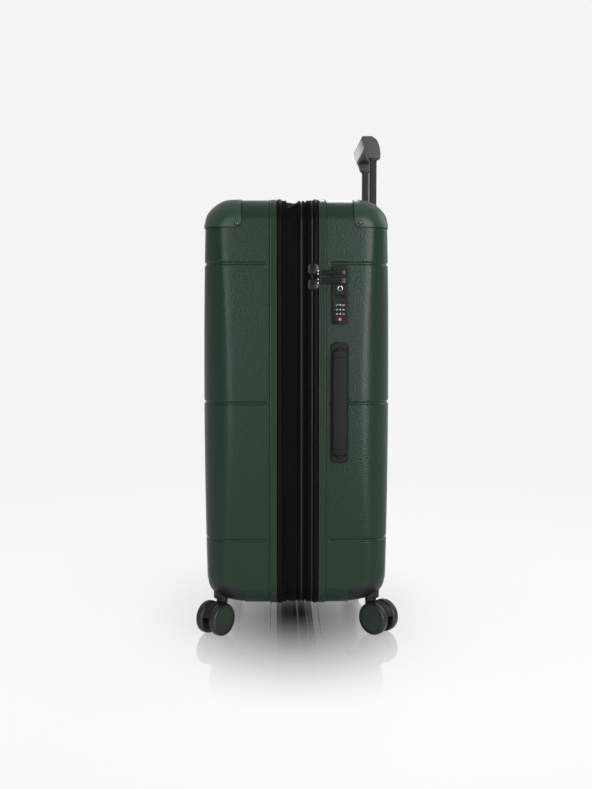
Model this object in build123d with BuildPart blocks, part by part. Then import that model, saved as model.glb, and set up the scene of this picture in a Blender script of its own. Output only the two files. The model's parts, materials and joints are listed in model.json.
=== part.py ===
"""Hard shell suitcase on four twin-wheel casters, in millimetres.

+X points to the lock side, +Y to the trolley side, +Z up. The origin is on the floor under the
middle of the case. The rear half carries the trolley and lock, and the front half is the lid.
"""
import os
from math import atan2, degrees

from build123d import *

os.makedirs("parts", exist_ok=True)

# case body
width = 520
depth = 328
height = 762
belly = 50
mid_z = (height + belly) / 2
edge_radius = 55
crown_radius = 8000
wall = 2.4
beyond = 900

# bands along the depth, from the front shell to the rear shell
front_rim_y = (-46.5, -34.5)
front_piping_y = (-34.5, -24.6)
front_tape_y = (-24.6, -17.6)
gusset_y = (-17.6, 2.1)
ridge_y = ((2.1, 6.4), (9.6, 13.7))
lid_band_y = (16.5, 25.6)
rear_tape_y = (26.2, 28.0)
rear_piping_y = (28.0, 37.5)
rear_rim_y = (37.5, 50.0)
rim_proud = 1.6
piping_proud = 2.0
band_back = 4.2
rim_lap = 9.5

# grooves pressed round both shells
groove_z = (171, 410, 649)
groove_width = 7
groove_depth = 2.0
front_groove_end = -53
rear_groove_end = 59.5

# corner guards and caster housings
guard_x, guard_y, guard_z = 190, 94.5, 711
guard_proud = 1.2
housing_x, housing_y, housing_z = 172, 91, 87
well_floor = 56.5
well_slope = 0.24
screw_radius = 3.4

# casters
swivel_x, swivel_y = 218, 132
trail = 18
wheel_radius = 28.5
wheel_width = 14.5
wheel_gap = 16
stem_radius = 5.0
axle_radius = 3.0
running = 0.05
rest_headings = {"front_right": -38, "front_left": -142, "rear_right": 47, "rear_left": 133}

# trolley
tube_x, tube_y = 80, 145
inner_tube = (20, 13)
tube_wall = 1.2
tube_play = 0.1
tube_foot_z = 108
tube_head_z = 706
grip_half = 93
grip_top = 891.5
grip_foot = 851.5
bezel_half = 97.6
bezel_front = 118.4
bezel_floor = 708.4

# lock and its zip sliders, on the right side
lock_y = (60, 86)
lock_z = (546, 644.5)
lock_face = 266.8
dial_x, dial_y = 260.2, 73.4
dial_radius = 7.5
dial_z = (578, 570.4, 562.8)
dial_width = 5.6
tab_z = {"upper": (629.4, 637.2), "lower": (614.2, 624.4)}
slider_z = {"upper": (629.4, 649.8), "lower": (602.8, 623.2)}
slider_y = (18.2, 37.8)
pivot_x, pivot_y = 264.4, 35.8
tab_tip = 83

# carry handles: the side one stands upright and the top one lies along the width
handle_y = 73
side_handle_z = 411
handle_length = 207
handle_width = 31
handle_rise = 15
handle_stroke = 18

# lining and packing gear
lining_gap = 5.2
lining = 1.0
lining_floor_y = 131


def save(piece, label):
    piece.label = label
    export_step(piece, f"parts/{label}.step")


def form(inset):
    """The body's outer form moved inwards: a rounded box whose six faces are slightly domed."""
    with BuildPart() as solid:
        with Locations((0, 0, mid_z)):
            Box(width - 2 * inset, depth - 2 * inset, height - belly - 2 * inset)
        fillet(solid.edges(), edge_radius - inset)
        for axis, half in ((0, width / 2), (1, depth / 2), (2, (height - belly) / 2)):
            for side in (1, -1):
                centre = [0, 0, mid_z]
                centre[axis] -= side * (crown_radius - half)
                with Locations(tuple(centre)):
                    Sphere(crown_radius - inset, rotation=(38, 31, 17), mode=Mode.INTERSECT)
    return solid.part


forms = {}


def form_at(inset):
    if inset not in forms:
        forms[inset] = form(inset)
    return forms[inset]


def block(x, y, z, rounding=0):
    """A box between two limits on each axis, with all its edges rounded if asked."""
    with BuildPart() as solid:
        with Locations(((x[0] + x[1]) / 2, (y[0] + y[1]) / 2, (z[0] + z[1]) / 2)):
            Box(x[1] - x[0], y[1] - y[0], z[1] - z[0])
        if rounding:
            fillet(solid.edges(), rounding)
    return solid.part


def slab(y0, y1):
    return block((-beyond, beyond), (y0, y1), (-beyond, beyond))


def ring(outer, inner, y0, y1):
    """A closed band round the case between two insets and two places along the depth."""
    with BuildPart() as band:
        add(form_at(outer))
        add(form_at(inner), mode=Mode.SUBTRACT)
        add(slab(y0, y1), mode=Mode.INTERSECT)
    return band.part


def corner_block(x, y, z, top, rounding):
    """A block over the corner beyond x and y, above or below z, rounded at its inner corner."""
    far_z = height + 60 if top else -60
    with BuildPart() as solid:
        with Locations(((x + width) / 2, (y + depth) / 2, (z + far_z) / 2)):
            Box(width - x, depth - y, abs(far_z - z))
        inner = solid.vertices().sort_by_distance((x, y, z))[0]
        near = solid.edges().filter_by(lambda edge: edge.distance_to(inner) < 1e-6)
        fillet(near, rounding)
    return solid.part


def quarter(piece, name):
    """The piece drawn for the right rear corner, turned over to the corner that the name gives."""
    with BuildPart() as turned:
        add(piece)
        if name.startswith("front"):
            add(mirror(turned.part, about=Plane.XZ), mode=Mode.REPLACE)
        if name.endswith("left"):
            add(mirror(turned.part, about=Plane.YZ), mode=Mode.REPLACE)
    return turned.part


def groove_bars(wider):
    """Bars where the grooves run, front and rear, made wider and longer by a margin."""
    with BuildPart() as bars:
        for middle in groove_z:
            z = (middle - groove_width / 2 - wider, middle + groove_width / 2 + wider)
            add(block((-beyond, beyond), (-beyond, front_groove_end + wider), z))
            add(block((-beyond, beyond), (rear_groove_end - wider, beyond), z))
    return bars.part


# grooves: what is cut from the outside, and the rib that backs it inside
with BuildPart() as groove_cut:
    add(groove_bars(0))
    add(form_at(groove_depth), mode=Mode.SUBTRACT)

with BuildPart() as groove_rib:
    add(groove_bars(wall))
    add(form_at(wall), mode=Mode.INTERSECT)
    add(form_at(wall + groove_depth), mode=Mode.SUBTRACT)

housing_cut = corner_block(housing_x, housing_y, housing_z, False, 6)

# lock and handle places on the crowned faces
lock_inner = ((250.2, 259), (63, 83.4), (550, 640.5))
stem_reach = handle_length / 2 - 17
stem_size = (8, 15)
pocket_depth = 24


def handle_place(side):
    """The plane a carry handle is drawn on: its x runs along the handle, its z out of the case."""
    if side:
        return Plane(origin=(width / 2 - 0.5, handle_y, side_handle_z), x_dir=(0, 0, 1), z_dir=(1, 0, 0))
    return Plane(origin=(0, handle_y, height - 0.5), x_dir=(1, 0, 0), z_dir=(0, 0, 1))


def handle_prisms(side, length, across, low, high):
    """Rectangular prisms at both handle stems, between two heights."""
    with BuildPart() as prisms:
        with BuildSketch(handle_place(side).offset(low)):
            with GridLocations(2 * stem_reach, 1, 2, 1):
                Rectangle(length, across)
        extrude(amount=high - low)
    return prisms.part


def shell(y0, y1, names):
    """One half of the case: wall, grooves and ribs, with its corners cut out for the casters."""
    with BuildPart() as half:
        add(form_at(0))
        add(form_at(wall), mode=Mode.SUBTRACT)
        add(groove_rib.part)
        add(groove_cut.part, mode=Mode.SUBTRACT)
        add(slab(y0, y1), mode=Mode.INTERSECT)
        for name in names:
            add(quarter(housing_cut, name), mode=Mode.SUBTRACT)
    return half.part


# ---- shells ----
with BuildPart() as front_shell:
    add(shell(-beyond, front_rim_y[0] + rim_lap, ("front_right", "front_left")))
save(front_shell.part, "front_shell")



def bezel_block(more, back=beyond):
    """The space that the trolley bezel fills behind the skin, grown by a margin."""
    return block(
        (-bezel_half - more, bezel_half + more), (bezel_front - more, back), (bezel_floor - more, beyond)
    )


lock_opening = block(*[(low - 0.15, high + 0.15) for low, high in lock_inner])

with BuildPart() as rear_shell:
    add(shell(rear_rim_y[1] - rim_lap, beyond, ("rear_right", "rear_left")))
    add(bezel_block(0.2), mode=Mode.SUBTRACT)
    add(lock_opening, mode=Mode.SUBTRACT)
    for side in (True, False):
        add(handle_prisms(side, stem_size[1] + 9, stem_size[0] + 9, -40, 20), mode=Mode.SUBTRACT)
save(rear_shell.part, "rear_shell")

# ---- rims: channels that hold each shell's edge ----
for label, (y0, y1), lap in (
    ("front_rim", front_rim_y, (front_rim_y[0], front_rim_y[0] + rim_lap)),
    ("rear_rim", rear_rim_y, (rear_rim_y[1] - rim_lap, rear_rim_y[1])),
):
    with BuildPart() as rim:
        add(ring(-rim_proud, wall + groove_depth, y0, y1))
        add(ring(0, wall, *lap), mode=Mode.SUBTRACT)
    save(rim.part, label)

# ---- zip tapes and the expansion gusset ----
with BuildPart() as front_zip_tape:
    add(ring(-piping_proud, band_back, *front_piping_y))
    add(ring(0.5, band_back, *front_tape_y))
save(front_zip_tape.part, "front_zip_tape")

with BuildPart() as gusset:
    add(ring(2.6, band_back - 0.4, gusset_y[0] + 0.1, gusset_y[1] - 0.1))
save(gusset.part, "gusset")

with BuildPart() as lid_band:
    add(ring(3.0, band_back, ridge_y[0][0], lid_band_y[1]))
    for y0, y1 in ridge_y:
        add(ring(0.8, 3.0, y0, y1))
    add(ring(0.2, 3.0, *lid_band_y))
save(lid_band.part, "lid_band")

with BuildPart() as rear_zip_tape:
    add(ring(0.2, band_back, *rear_tape_y))
    add(ring(-piping_proud, band_back, *rear_piping_y))
save(rear_zip_tape.part, "rear_zip_tape")

# the woven hinge on the left side, which bends where the two halves part
with BuildPart() as fabric_hinge:
    add(form_at(-1.4))
    add(form_at(0.1), mode=Mode.SUBTRACT)
    add(block((-beyond, 0), (lid_band_y[0] + 1, rear_piping_y[0] - 0.2), (130, 690)), mode=Mode.INTERSECT)
save(fabric_hinge.part, "fabric_hinge")

# ---- corner guards with their screws ----
screw_side = Location((width / 2 - 10, guard_y + 9, guard_z + 7), (0, 90, 0))
screw_face = Location((guard_x + 9, depth / 2 - 10, guard_z + 7), (90, 0, 0))
screw_top = Location((guard_x + 9, guard_y + 9, height - 10))

with BuildPart() as guard:
    add(form_at(-guard_proud))
    add(form_at(0), mode=Mode.SUBTRACT)
    add(corner_block(guard_x, guard_y, guard_z, True, 10), mode=Mode.INTERSECT)
    with Locations(screw_side, screw_face, screw_top):
        Cylinder(screw_radius + 0.2, 40, mode=Mode.SUBTRACT)

with BuildPart() as guard_screws:
    with Locations(screw_side, screw_face, screw_top):
        Cylinder(screw_radius, 40)
    add(form_at(-guard_proud + 0.2), mode=Mode.INTERSECT)
    add(form_at(0), mode=Mode.SUBTRACT)

for half_name in ("front", "rear"):
    for hand in ("left", "right"):
        save(quarter(guard.part, f"{half_name}_{hand}"), f"{half_name}_guard_{hand}")
    with BuildPart() as screws:
        add(quarter(guard_screws.part, f"{half_name}_left"))
        add(quarter(guard_screws.part, f"{half_name}_right"))
    save(screws.part, f"{half_name}_screws")

# ---- caster housings: corner skin, raised wheel well, inner flange and swivel socket ----
socket_floor = 61.5
socket_top = 101
stem_top = 97
roof = 3


def well_prism(back, raised, far_z):
    """What lies between the well's sloping roof, moved back and raised, and a far height."""
    near_y = housing_y - back
    with BuildPart() as prism:
        with BuildSketch(Plane.YZ.offset(housing_x - back)):
            with BuildLine():
                Polyline(
                    (near_y, far_z),
                    (near_y, well_floor + raised),
                    (depth, well_floor + raised + well_slope * (depth - housing_y)),
                    (depth, far_z),
                    close=True,
                )
            make_face()
        extrude(amount=width - housing_x)
    return prism.part


with BuildPart() as flange:
    add(form_at(wall + 0.1))
    add(corner_block(housing_x - 6, housing_y - 6, housing_z + 6, False, 10), mode=Mode.INTERSECT)

with BuildPart() as above_roof:
    add(well_prism(roof, roof, height))
    add(block((0, housing_x - roof), (0, depth), (0, height)))
    add(block((0, width), (0, housing_y - roof), (0, height)))

with BuildPart() as hollow:
    add(form_at(wall + groove_depth))
    add(above_roof.part, mode=Mode.INTERSECT)

with BuildPart() as housing:
    add(form_at(0.3))
    add(housing_cut, mode=Mode.INTERSECT)
    add(flange.part)
    add(well_prism(0, 0, -60), mode=Mode.SUBTRACT)
    add(hollow.part, mode=Mode.SUBTRACT)
    with Locations((swivel_x, swivel_y, socket_floor)):
        Cylinder(15, 8, align=(Align.CENTER, Align.CENTER, Align.MIN))
        Cylinder(11, socket_top - socket_floor, align=(Align.CENTER, Align.CENTER, Align.MIN))
        Cylinder(
            stem_radius + running,
            stem_top + 1 - socket_floor,
            align=(Align.CENTER, Align.CENTER, Align.MIN),
            mode=Mode.SUBTRACT,
        )

for name in rest_headings:
    half_name, hand = name.split("_")
    save(quarter(housing.part, name), f"caster_housing_{half_name}_{hand}")

# ---- casters: drawn with the trail along +X, then turned to their rest headings ----
hub_radius = 8
fender_radius = 26.4
fender_wall = 2.6
web_half = wheel_gap / 2 - 0.7
axle_half = wheel_gap / 2 + wheel_width - 2.2
cap_radius = 23
cap_thickness = 1.2
post_foot = 55.2
web_points = (
    (-9, 56),
    (9, 56),
    (trail + 6, wheel_radius + 6),
    (trail - 7, wheel_radius - 4),
    (-4, 40),
    (-9, 46),
)
fender_window = ((-9, 48), (-9, 70), (80, 70), (80, wheel_radius - 6), (trail, wheel_radius - 1), (-2, 38))


def wheel_spot(out):
    """A place on the axle, its cylinders' length along it, that far from the fork's middle."""
    return Location((trail, -out, wheel_radius), (90, 0, 0))


with BuildPart() as fork:
    with BuildSketch(Plane.XZ):
        with Locations((trail, wheel_radius)):
            Circle(hub_radius)
        with BuildLine():
            Polyline(*web_points, close=True)
        make_face()
    extrude(amount=web_half, both=True)
    with BuildSketch(Plane.XZ):
        with Locations((trail, wheel_radius)):
            Circle(fender_radius)
            Circle(fender_radius - fender_wall, mode=Mode.SUBTRACT)
        with BuildLine():
            Polyline(*fender_window, close=True)
        make_face(mode=Mode.INTERSECT)
    extrude(amount=web_half, both=True)
    with Locations((0, 0, post_foot)):
        Cylinder(10, socket_floor - 0.5 - post_foot, align=(Align.CENTER, Align.CENTER, Align.MIN))
    with Locations((0, 0, 50)):
        Cylinder(stem_radius, stem_top - 50, align=(Align.CENTER, Align.CENTER, Align.MIN))
    with Locations(wheel_spot(0)):
        Cylinder(axle_radius, 2 * axle_half)

with BuildPart() as wheel:
    with Locations(wheel_spot((wheel_gap + wheel_width) / 2)):
        Cylinder(wheel_radius, wheel_width)
    fillet(wheel.edges().filter_by(GeomType.CIRCLE), 3)
    with Locations(wheel_spot(wheel_gap / 2 + wheel_width - cap_thickness / 2)):
        Cylinder(cap_radius, cap_thickness, mode=Mode.SUBTRACT)
    with Locations(wheel_spot((wheel_gap + wheel_width) / 2)):
        Cylinder(axle_radius + running, wheel_width, mode=Mode.SUBTRACT)

with BuildPart() as cap:
    with Locations(wheel_spot(wheel_gap / 2 + wheel_width - cap_thickness / 2)):
        Cylinder(cap_radius - 0.1, cap_thickness)

for name, heading in rest_headings.items():
    half_name, hand = name.split("_")
    place = Location(
        ((swivel_x if hand == "right" else -swivel_x), (swivel_y if half_name == "rear" else -swivel_y), 0),
        (0, 0, heading),
    )
    save(fork.part.moved(place), f"caster_fork_{name}")
    for letter, turn in (("a", 0), ("b", 180)):
        # the second wheel is the first one mirrored through the middle of the fork
        with BuildPart() as wheel_set:
            add(wheel.part)
            add(cap.part)
            if turn:
                add(mirror(wheel_set.part, about=Plane.XZ), mode=Mode.REPLACE)
        save(wheel_set.part.moved(place), f"wheel_{name}_{letter}")

# ---- trolley ----
middle_tube = tuple(size + 2 * (tube_play + tube_wall) for size in inner_tube)
outer_tube = tuple(size + 2 * (tube_play + tube_wall) for size in middle_tube)
bore_of = {
    middle_tube: tuple(size - 2 * tube_wall for size in middle_tube),
    outer_tube: tuple(size - 2 * tube_wall for size in outer_tube),
    inner_tube: tuple(size - 2 * tube_wall for size in inner_tube),
}


def tube_pair(section, low, high):
    """Two rounded rectangular tubes side by side."""
    bore = bore_of[section]
    with BuildPart() as pair:
        with BuildSketch(Plane.XY.offset(low)):
            with Locations((-tube_x, tube_y), (tube_x, tube_y)):
                RectangleRounded(*section, 4)
                RectangleRounded(*bore, 4 - tube_wall, mode=Mode.SUBTRACT)
        extrude(amount=high - low)
    return pair.part


with BuildPart() as trolley_outer_tubes:
    add(tube_pair(outer_tube, tube_foot_z, tube_head_z))
save(trolley_outer_tubes.part, "trolley_outer_tubes")

with BuildPart() as trolley_middle_tubes:
    add(tube_pair(middle_tube, tube_foot_z + 4, tube_head_z - 2))
save(trolley_middle_tubes.part, "trolley_middle_tubes")

with BuildPart() as trolley_inner_tubes:
    add(tube_pair(inner_tube, 262, grip_foot + 9))
save(trolley_inner_tubes.part, "trolley_inner_tubes")

with BuildPart() as trolley_foot:
    add(block((-tube_x - 16, tube_x + 16), (tube_y - 8, tube_y + 8), (tube_foot_z - 8, tube_foot_z)))
    fillet(trolley_foot.edges().filter_by(Axis.Z), 4)
save(trolley_foot.part, "trolley_foot")

bezel_rim = 6
with BuildPart() as cup:
    add(form_at(0))
    add(bezel_block(0), mode=Mode.INTERSECT)

with BuildPart() as trolley_bezel:
    add(form_at(-1.6))
    add(bezel_block(bezel_rim), mode=Mode.INTERSECT)
    add(form_at(0), mode=Mode.SUBTRACT)
    add(cup.part)
    add(
        block((-grip_half - 2.4, grip_half + 2.4), (bezel_front + 2, beyond), (bezel_floor + 2.6, beyond)),
        mode=Mode.SUBTRACT,
    )
    with BuildSketch(Plane.XY.offset(bezel_floor - 20)):
        with Locations((-tube_x, tube_y), (tube_x, tube_y)):
            RectangleRounded(middle_tube[0] + 0.8, middle_tube[1] + 0.8, 4.4)
    extrude(amount=60, mode=Mode.SUBTRACT)
save(trolley_bezel.part, "trolley_bezel")

# the grip's end profile: flat top, rounded back, and a front that curves in towards the legs
grip_front_curve = ((123, grip_top - 5), (126.4, 875), (132.2, 862), (135.2, grip_foot))
grip_back_y = 157.8
grip_back_curve = (
    (142, grip_top),
    (151, grip_top - 7),
    (155.5, grip_top - 17),
    (grip_back_y, grip_top - 29),
)
bar_foot = 867


def grip_profile(low):
    """The part of the grip's end profile that lies above a height."""
    with BuildSketch(Plane.YZ) as profile:
        with BuildLine():
            top = Line((124.5, grip_top), (142, grip_top))
            back = Spline(*grip_back_curve, tangents=((1, 0), (0, -1)))
            Line(back @ 1, (grip_back_y, grip_foot))
            Line((grip_back_y, grip_foot), grip_front_curve[-1])
            front = Spline(*reversed(grip_front_curve))
            Line(front @ 1, top @ 0)
        make_face()
        with Locations((0, (low + height * 2) / 2)):
            Rectangle(beyond, height * 2 - low, mode=Mode.INTERSECT)
    return profile.sketch


leg_inner = 68
release_half = 18
panel_thickness = 1.2
with BuildPart() as grip_solid:
    extrude(grip_profile(bar_foot), amount=grip_half, both=True)
with BuildPart() as grip_legs:
    extrude(grip_profile(grip_foot), amount=grip_half, both=True)
    add(block((-leg_inner, leg_inner), (0, depth), (0, beyond * 2)), mode=Mode.SUBTRACT)
with BuildPart() as front_skin:
    extrude(grip_profile(bar_foot), amount=grip_half - 3, both=True)
    add(grip_solid.part.moved(Location((0, panel_thickness, 0))), mode=Mode.SUBTRACT)
    add(block((-grip_half, grip_half), (0, 140), (0, grip_top - 3)), mode=Mode.INTERSECT)

with BuildPart() as grip_body:
    add(grip_solid.part)
    add(grip_legs.part)
    add(front_skin.part, mode=Mode.SUBTRACT)
    add(
        block((-release_half - 0.4, release_half + 0.4), (127.6, 139.4), (grip_top - 8, grip_top + 1)),
        mode=Mode.SUBTRACT,
    )
    with BuildSketch(Plane.XY.offset(grip_foot)):
        with Locations((-tube_x, tube_y), (tube_x, tube_y)):
            RectangleRounded(*inner_tube, 4)
    extrude(amount=9, mode=Mode.SUBTRACT)
save(grip_body.part, "grip_body")
save(front_skin.part, "grip_panel")

with BuildPart() as release_button:
    add(block((-release_half, release_half), (128, 139), (grip_top - 3.8, grip_top + 0.4)))
    fillet(release_button.edges().filter_by(Axis.Z), 4)
    fillet(release_button.faces().sort_by(Axis.Z)[-1].edges(), 0.8)
save(release_button.part, "release_button")

# ---- lock ----
with BuildPart() as lock_body:
    add(block((240, lock_face), lock_y, lock_z))
    fillet(lock_body.edges().filter_by(Axis.X), 2.5)
    fillet(lock_body.faces().sort_by(Axis.X)[-1].edges(), 1.2)
    add(form_at(0), mode=Mode.SUBTRACT)
    add(block(*lock_inner))
    for z0, z1 in tab_z.values():
        add(block((262.4, 280), (lock_y[0] - 1, tab_tip + 0.6), (z0 - 0.5, z1 + 0.5)), mode=Mode.SUBTRACT)
    add(block((261.4, 280), (64.2, 81), (589.8, 613.7)), mode=Mode.SUBTRACT)
    for z in dial_z:
        with Locations((dial_x, dial_y, z)):
            Cylinder(dial_radius + 0.4, dial_width + 0.6, mode=Mode.SUBTRACT)
    with Locations((dial_x, dial_y, dial_z[1])):
        Cylinder(1.5, 26, mode=Mode.SUBTRACT)
save(lock_body.part, "lock_body")

with BuildPart() as lock_dial_axle:
    with Locations((dial_x, dial_y, dial_z[1])):
        Cylinder(1.5, 26)
save(lock_dial_axle.part, "lock_dial_axle")

for number, z in enumerate(dial_z, 1):
    with BuildPart() as dial:
        with Locations((dial_x, dial_y, z)):
            Cylinder(dial_radius, dial_width)
            with PolarLocations(dial_radius, 10, start_angle=18):
                Cylinder(0.5, dial_width, mode=Mode.SUBTRACT)
            Cylinder(1.5 + running, dial_width, mode=Mode.SUBTRACT)
    save(dial.part, f"dial_{number}")

key_spot = Location((264.9, 73.1, 606.3), (0, 90, 0))
with BuildPart() as lock_button:
    add(block((261.8, 267.4), (64.6, 80.6), (594.8, 613.2)))
    fillet(lock_button.edges().filter_by(Axis.X), 2)
    fillet(lock_button.faces().sort_by(Axis.X)[-1].edges(), 0.8)
    with Locations(key_spot):
        Cylinder(3.8, 5, mode=Mode.SUBTRACT)
save(lock_button.part, "lock_button")

with BuildPart() as key_cylinder:
    with Locations(key_spot):
        Cylinder(3.8 - running, 5)
    add(block((266, 270), (72.5, 73.7), (603.9, 608.7)), mode=Mode.SUBTRACT)
save(key_cylinder.part, "key_cylinder")

# ---- zip sliders and their pull tabs ----
ear_edges = {"upper": (0.6, 2.2, 2.2, 0.6), "lower": (0.6, 2.2, 3.4, 1.8)}
for label, (low_edge, low_inner, high_inner, high_edge) in ear_edges.items():
    z0, z1 = tab_z[label]
    body_z = slider_z[label]
    with BuildPart() as slider:
        add(block((250, 261.2), slider_y, body_z))
        fillet(slider.edges().filter_by(Axis.X), 3)
        add(form_at(-0.3), mode=Mode.SUBTRACT)
        add(ring(-piping_proud - 0.1, wall, rear_piping_y[0], rear_rim_y[1]), mode=Mode.SUBTRACT)
        ears = ((z0 + low_edge, z0 + low_inner), (z1 - high_inner, z1 - high_edge))
        for ear in ears:
            add(block((260, 266.4), (pivot_y - 2.2, pivot_y + 1.9), ear))
        with Locations((pivot_x, pivot_y, (ears[0][0] + ears[1][1]) / 2)):
            Cylinder(1.1, ears[1][1] - ears[0][0])
    save(slider.part, f"zip_slider_{label}")
    eye = (ears[0][1] + 0.2, ears[1][0] - 0.2)
    with BuildPart() as tab:
        with BuildSketch(Plane.XY.offset(eye[0])):
            with Locations((pivot_x, pivot_y)):
                Circle(2.5)
            with Locations((pivot_x, pivot_y + 4)):
                Rectangle(3, 8)
        extrude(amount=eye[1] - eye[0])
        add(block((pivot_x - 1.5, pivot_x + 1.5), (pivot_y + 3.4, tab_tip), (z0, z1)))
        with Locations((pivot_x, pivot_y, z0)):
            Cylinder(1.1 + running, 30, mode=Mode.SUBTRACT)
    save(tab.part, f"pull_tab_{label}")

# ---- carry handles ----
tray = 1.6
grip_thick = 8.4
base_end = 12


def handle_base(side):
    """A tray with raised ends, and behind each end a pocket that takes the stem and its spring."""
    with BuildPart() as base:
        with BuildSketch(handle_place(side).offset(-6)):
            RectangleRounded(handle_length, handle_width, 9)
        extrude(amount=6 + tray)
        with BuildSketch(handle_place(side).offset(tray)):
            RectangleRounded(handle_length, handle_width, 9)
            Rectangle(handle_length - 2 * base_end, handle_width, mode=Mode.SUBTRACT)
        extrude(amount=4, taper=20)
        add(form_at(0), mode=Mode.SUBTRACT)
        add(handle_prisms(side, stem_size[1] + 8, stem_size[0] + 8, -pocket_depth, tray))
        add(handle_prisms(side, stem_size[1] + 1, stem_size[0] + 1, 2 - pocket_depth, 20), mode=Mode.SUBTRACT)
    return base.part


def handle_grip(side):
    """A low arched bar with two flat stems that slide into the base."""
    bar_half = handle_length / 2 - base_end - 0.6
    with BuildPart() as bar:
        with BuildSketch(handle_place(side).offset(handle_rise - grip_thick)):
            RectangleRounded(2 * bar_half, handle_width - 5.4, 6)
        extrude(amount=grip_thick)
        fillet(bar.edges().group_by(Axis.X if side else Axis.Z)[-1], 3)
        fillet(bar.edges().group_by(Axis.X if side else Axis.Z)[0], 2)
        stem_foot = 2.6 + handle_stroke - pocket_depth
        add(handle_prisms(side, stem_size[1], stem_size[0], stem_foot, handle_rise - 4))
    return bar.part


for label, side in (("side", True), ("top", False)):
    with BuildPart() as handle:
        add(handle_base(side))
    save(handle.part, f"{label}_handle_base")
    with BuildPart() as handle:
        add(handle_grip(side))
    save(handle.part, f"{label}_handle_grip")

# ---- linings: cloth boxes that wrap the wheel wells and the trolley pocket ----


def cavity(inset, y0, y1, name):
    """The space inside one half, kept clear of its wheel wells, at an inset from the case."""
    more = inset - lining_gap
    with BuildPart() as space:
        add(form_at(inset))
        add(slab(y0, y1), mode=Mode.INTERSECT)
        inner_corner = corner_block(
            housing_x - 6.6 - more, housing_y - 6.6 - more, housing_z + 18 + more, False, 10
        )
        for hand in ("left", "right"):
            add(quarter(inner_corner, f"{name}_{hand}"), mode=Mode.SUBTRACT)
    return space.part


with BuildPart() as front_lining:
    add(cavity(lining_gap, -beyond, -36, "front"))
    add(cavity(lining_gap + lining, -beyond, -30, "front"), mode=Mode.SUBTRACT)
save(front_lining.part, "front_lining")

with BuildPart() as bezel_wrap:
    add(form_at(lining_gap))
    add(bezel_block(0.6 + lining, lining_floor_y), mode=Mode.INTERSECT)

with BuildPart() as rear_lining:
    add(cavity(lining_gap, 40, lining_floor_y, "rear"))
    add(cavity(lining_gap + lining, 30, lining_floor_y - lining, "rear"), mode=Mode.SUBTRACT)
    add(bezel_wrap.part)
    add(bezel_block(0.6), mode=Mode.SUBTRACT)
    add(block(*[(low - 0.6, high + 0.6) for low, high in lock_inner]), mode=Mode.SUBTRACT)
    for side in (True, False):
        add(handle_prisms(side, stem_size[1] + 9.2, stem_size[0] + 9.2, -40, 0), mode=Mode.SUBTRACT)
save(rear_lining.part, "rear_lining")

# ---- packing gear ----
strap_z = (150, 670)
strap_x = 150
buckle_y = lining_floor_y - lining
with BuildPart() as packing_straps:
    with BuildSketch(Plane(origin=(0, buckle_y - 0.1, mid_z), x_dir=(1, 0, 0), z_dir=(0, -1, 0))) as cross:
        for side in (1, -1):
            run = (side * strap_x, (strap_z[1] - strap_z[0]) / 2)
            with Locations(Location((0, 0, 0), (0, 0, degrees(atan2(run[1], run[0]))))):
                Rectangle(2 * (run[0] ** 2 + run[1] ** 2) ** 0.5, 28)
        Rectangle(44, 76, mode=Mode.SUBTRACT)
    extrude(amount=1.4)
save(packing_straps.part, "packing_straps")

with BuildPart() as strap_buckle:
    add(block((-21.8, 21.8), (buckle_y - 9, buckle_y - 0.1), (mid_z - 37.8, mid_z + 37.8)))
    fillet(strap_buckle.edges().filter_by(Axis.Y), 8)
    fillet(strap_buckle.faces().sort_by(Axis.Y)[0].edges(), 2)
save(strap_buckle.part, "strap_buckle")

with BuildPart() as mesh_pocket:
    with BuildSketch(Plane(origin=(0, -142, 330), x_dir=(1, 0, 0), z_dir=(0, -1, 0))):
        RectangleRounded(400, 300, 20)
    extrude(amount=2)
save(mesh_pocket.part, "mesh_pocket")

# the expansion zip's slider, parked on the hinge side
with BuildPart() as expansion_slider:
    add(block((-261.5, -250), (-4.5, 5.9), (300, 316)))
    fillet(expansion_slider.edges().filter_by(Axis.X), 2)
    add(block((-264, -261.5), (-2.5, 3.9), (270, 312)))
    add(form_at(-0.3), mode=Mode.SUBTRACT)
save(expansion_slider.part, "expansion_slider")
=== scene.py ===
import json
import math

import bmesh
import bpy
import numpy as np
from mathutils import Matrix, Vector

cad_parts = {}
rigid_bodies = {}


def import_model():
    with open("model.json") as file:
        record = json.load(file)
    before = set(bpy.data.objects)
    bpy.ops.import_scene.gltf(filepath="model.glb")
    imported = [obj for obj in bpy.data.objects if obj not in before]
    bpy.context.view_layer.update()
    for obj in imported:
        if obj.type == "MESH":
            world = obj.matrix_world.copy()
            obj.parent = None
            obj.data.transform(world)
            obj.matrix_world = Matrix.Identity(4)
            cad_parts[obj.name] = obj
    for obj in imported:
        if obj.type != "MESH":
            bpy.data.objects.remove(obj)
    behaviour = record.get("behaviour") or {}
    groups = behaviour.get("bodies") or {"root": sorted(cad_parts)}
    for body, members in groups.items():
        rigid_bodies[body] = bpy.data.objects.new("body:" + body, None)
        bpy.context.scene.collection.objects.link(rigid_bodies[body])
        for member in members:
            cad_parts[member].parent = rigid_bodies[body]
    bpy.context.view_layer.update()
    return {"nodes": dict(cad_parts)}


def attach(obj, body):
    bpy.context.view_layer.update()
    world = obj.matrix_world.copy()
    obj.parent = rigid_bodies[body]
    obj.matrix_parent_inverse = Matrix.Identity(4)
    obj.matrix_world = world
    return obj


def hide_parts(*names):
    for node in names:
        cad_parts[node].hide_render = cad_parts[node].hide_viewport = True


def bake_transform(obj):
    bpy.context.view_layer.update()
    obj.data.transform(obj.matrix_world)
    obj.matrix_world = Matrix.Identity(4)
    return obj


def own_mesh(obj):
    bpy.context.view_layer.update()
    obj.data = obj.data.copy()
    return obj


for stray in list(bpy.data.objects):
    bpy.data.objects.remove(stray)
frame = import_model()
print("frame loaded:", len(frame["nodes"]), "nodes")

mm = 0.001
studio = bpy.context.scene

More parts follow.
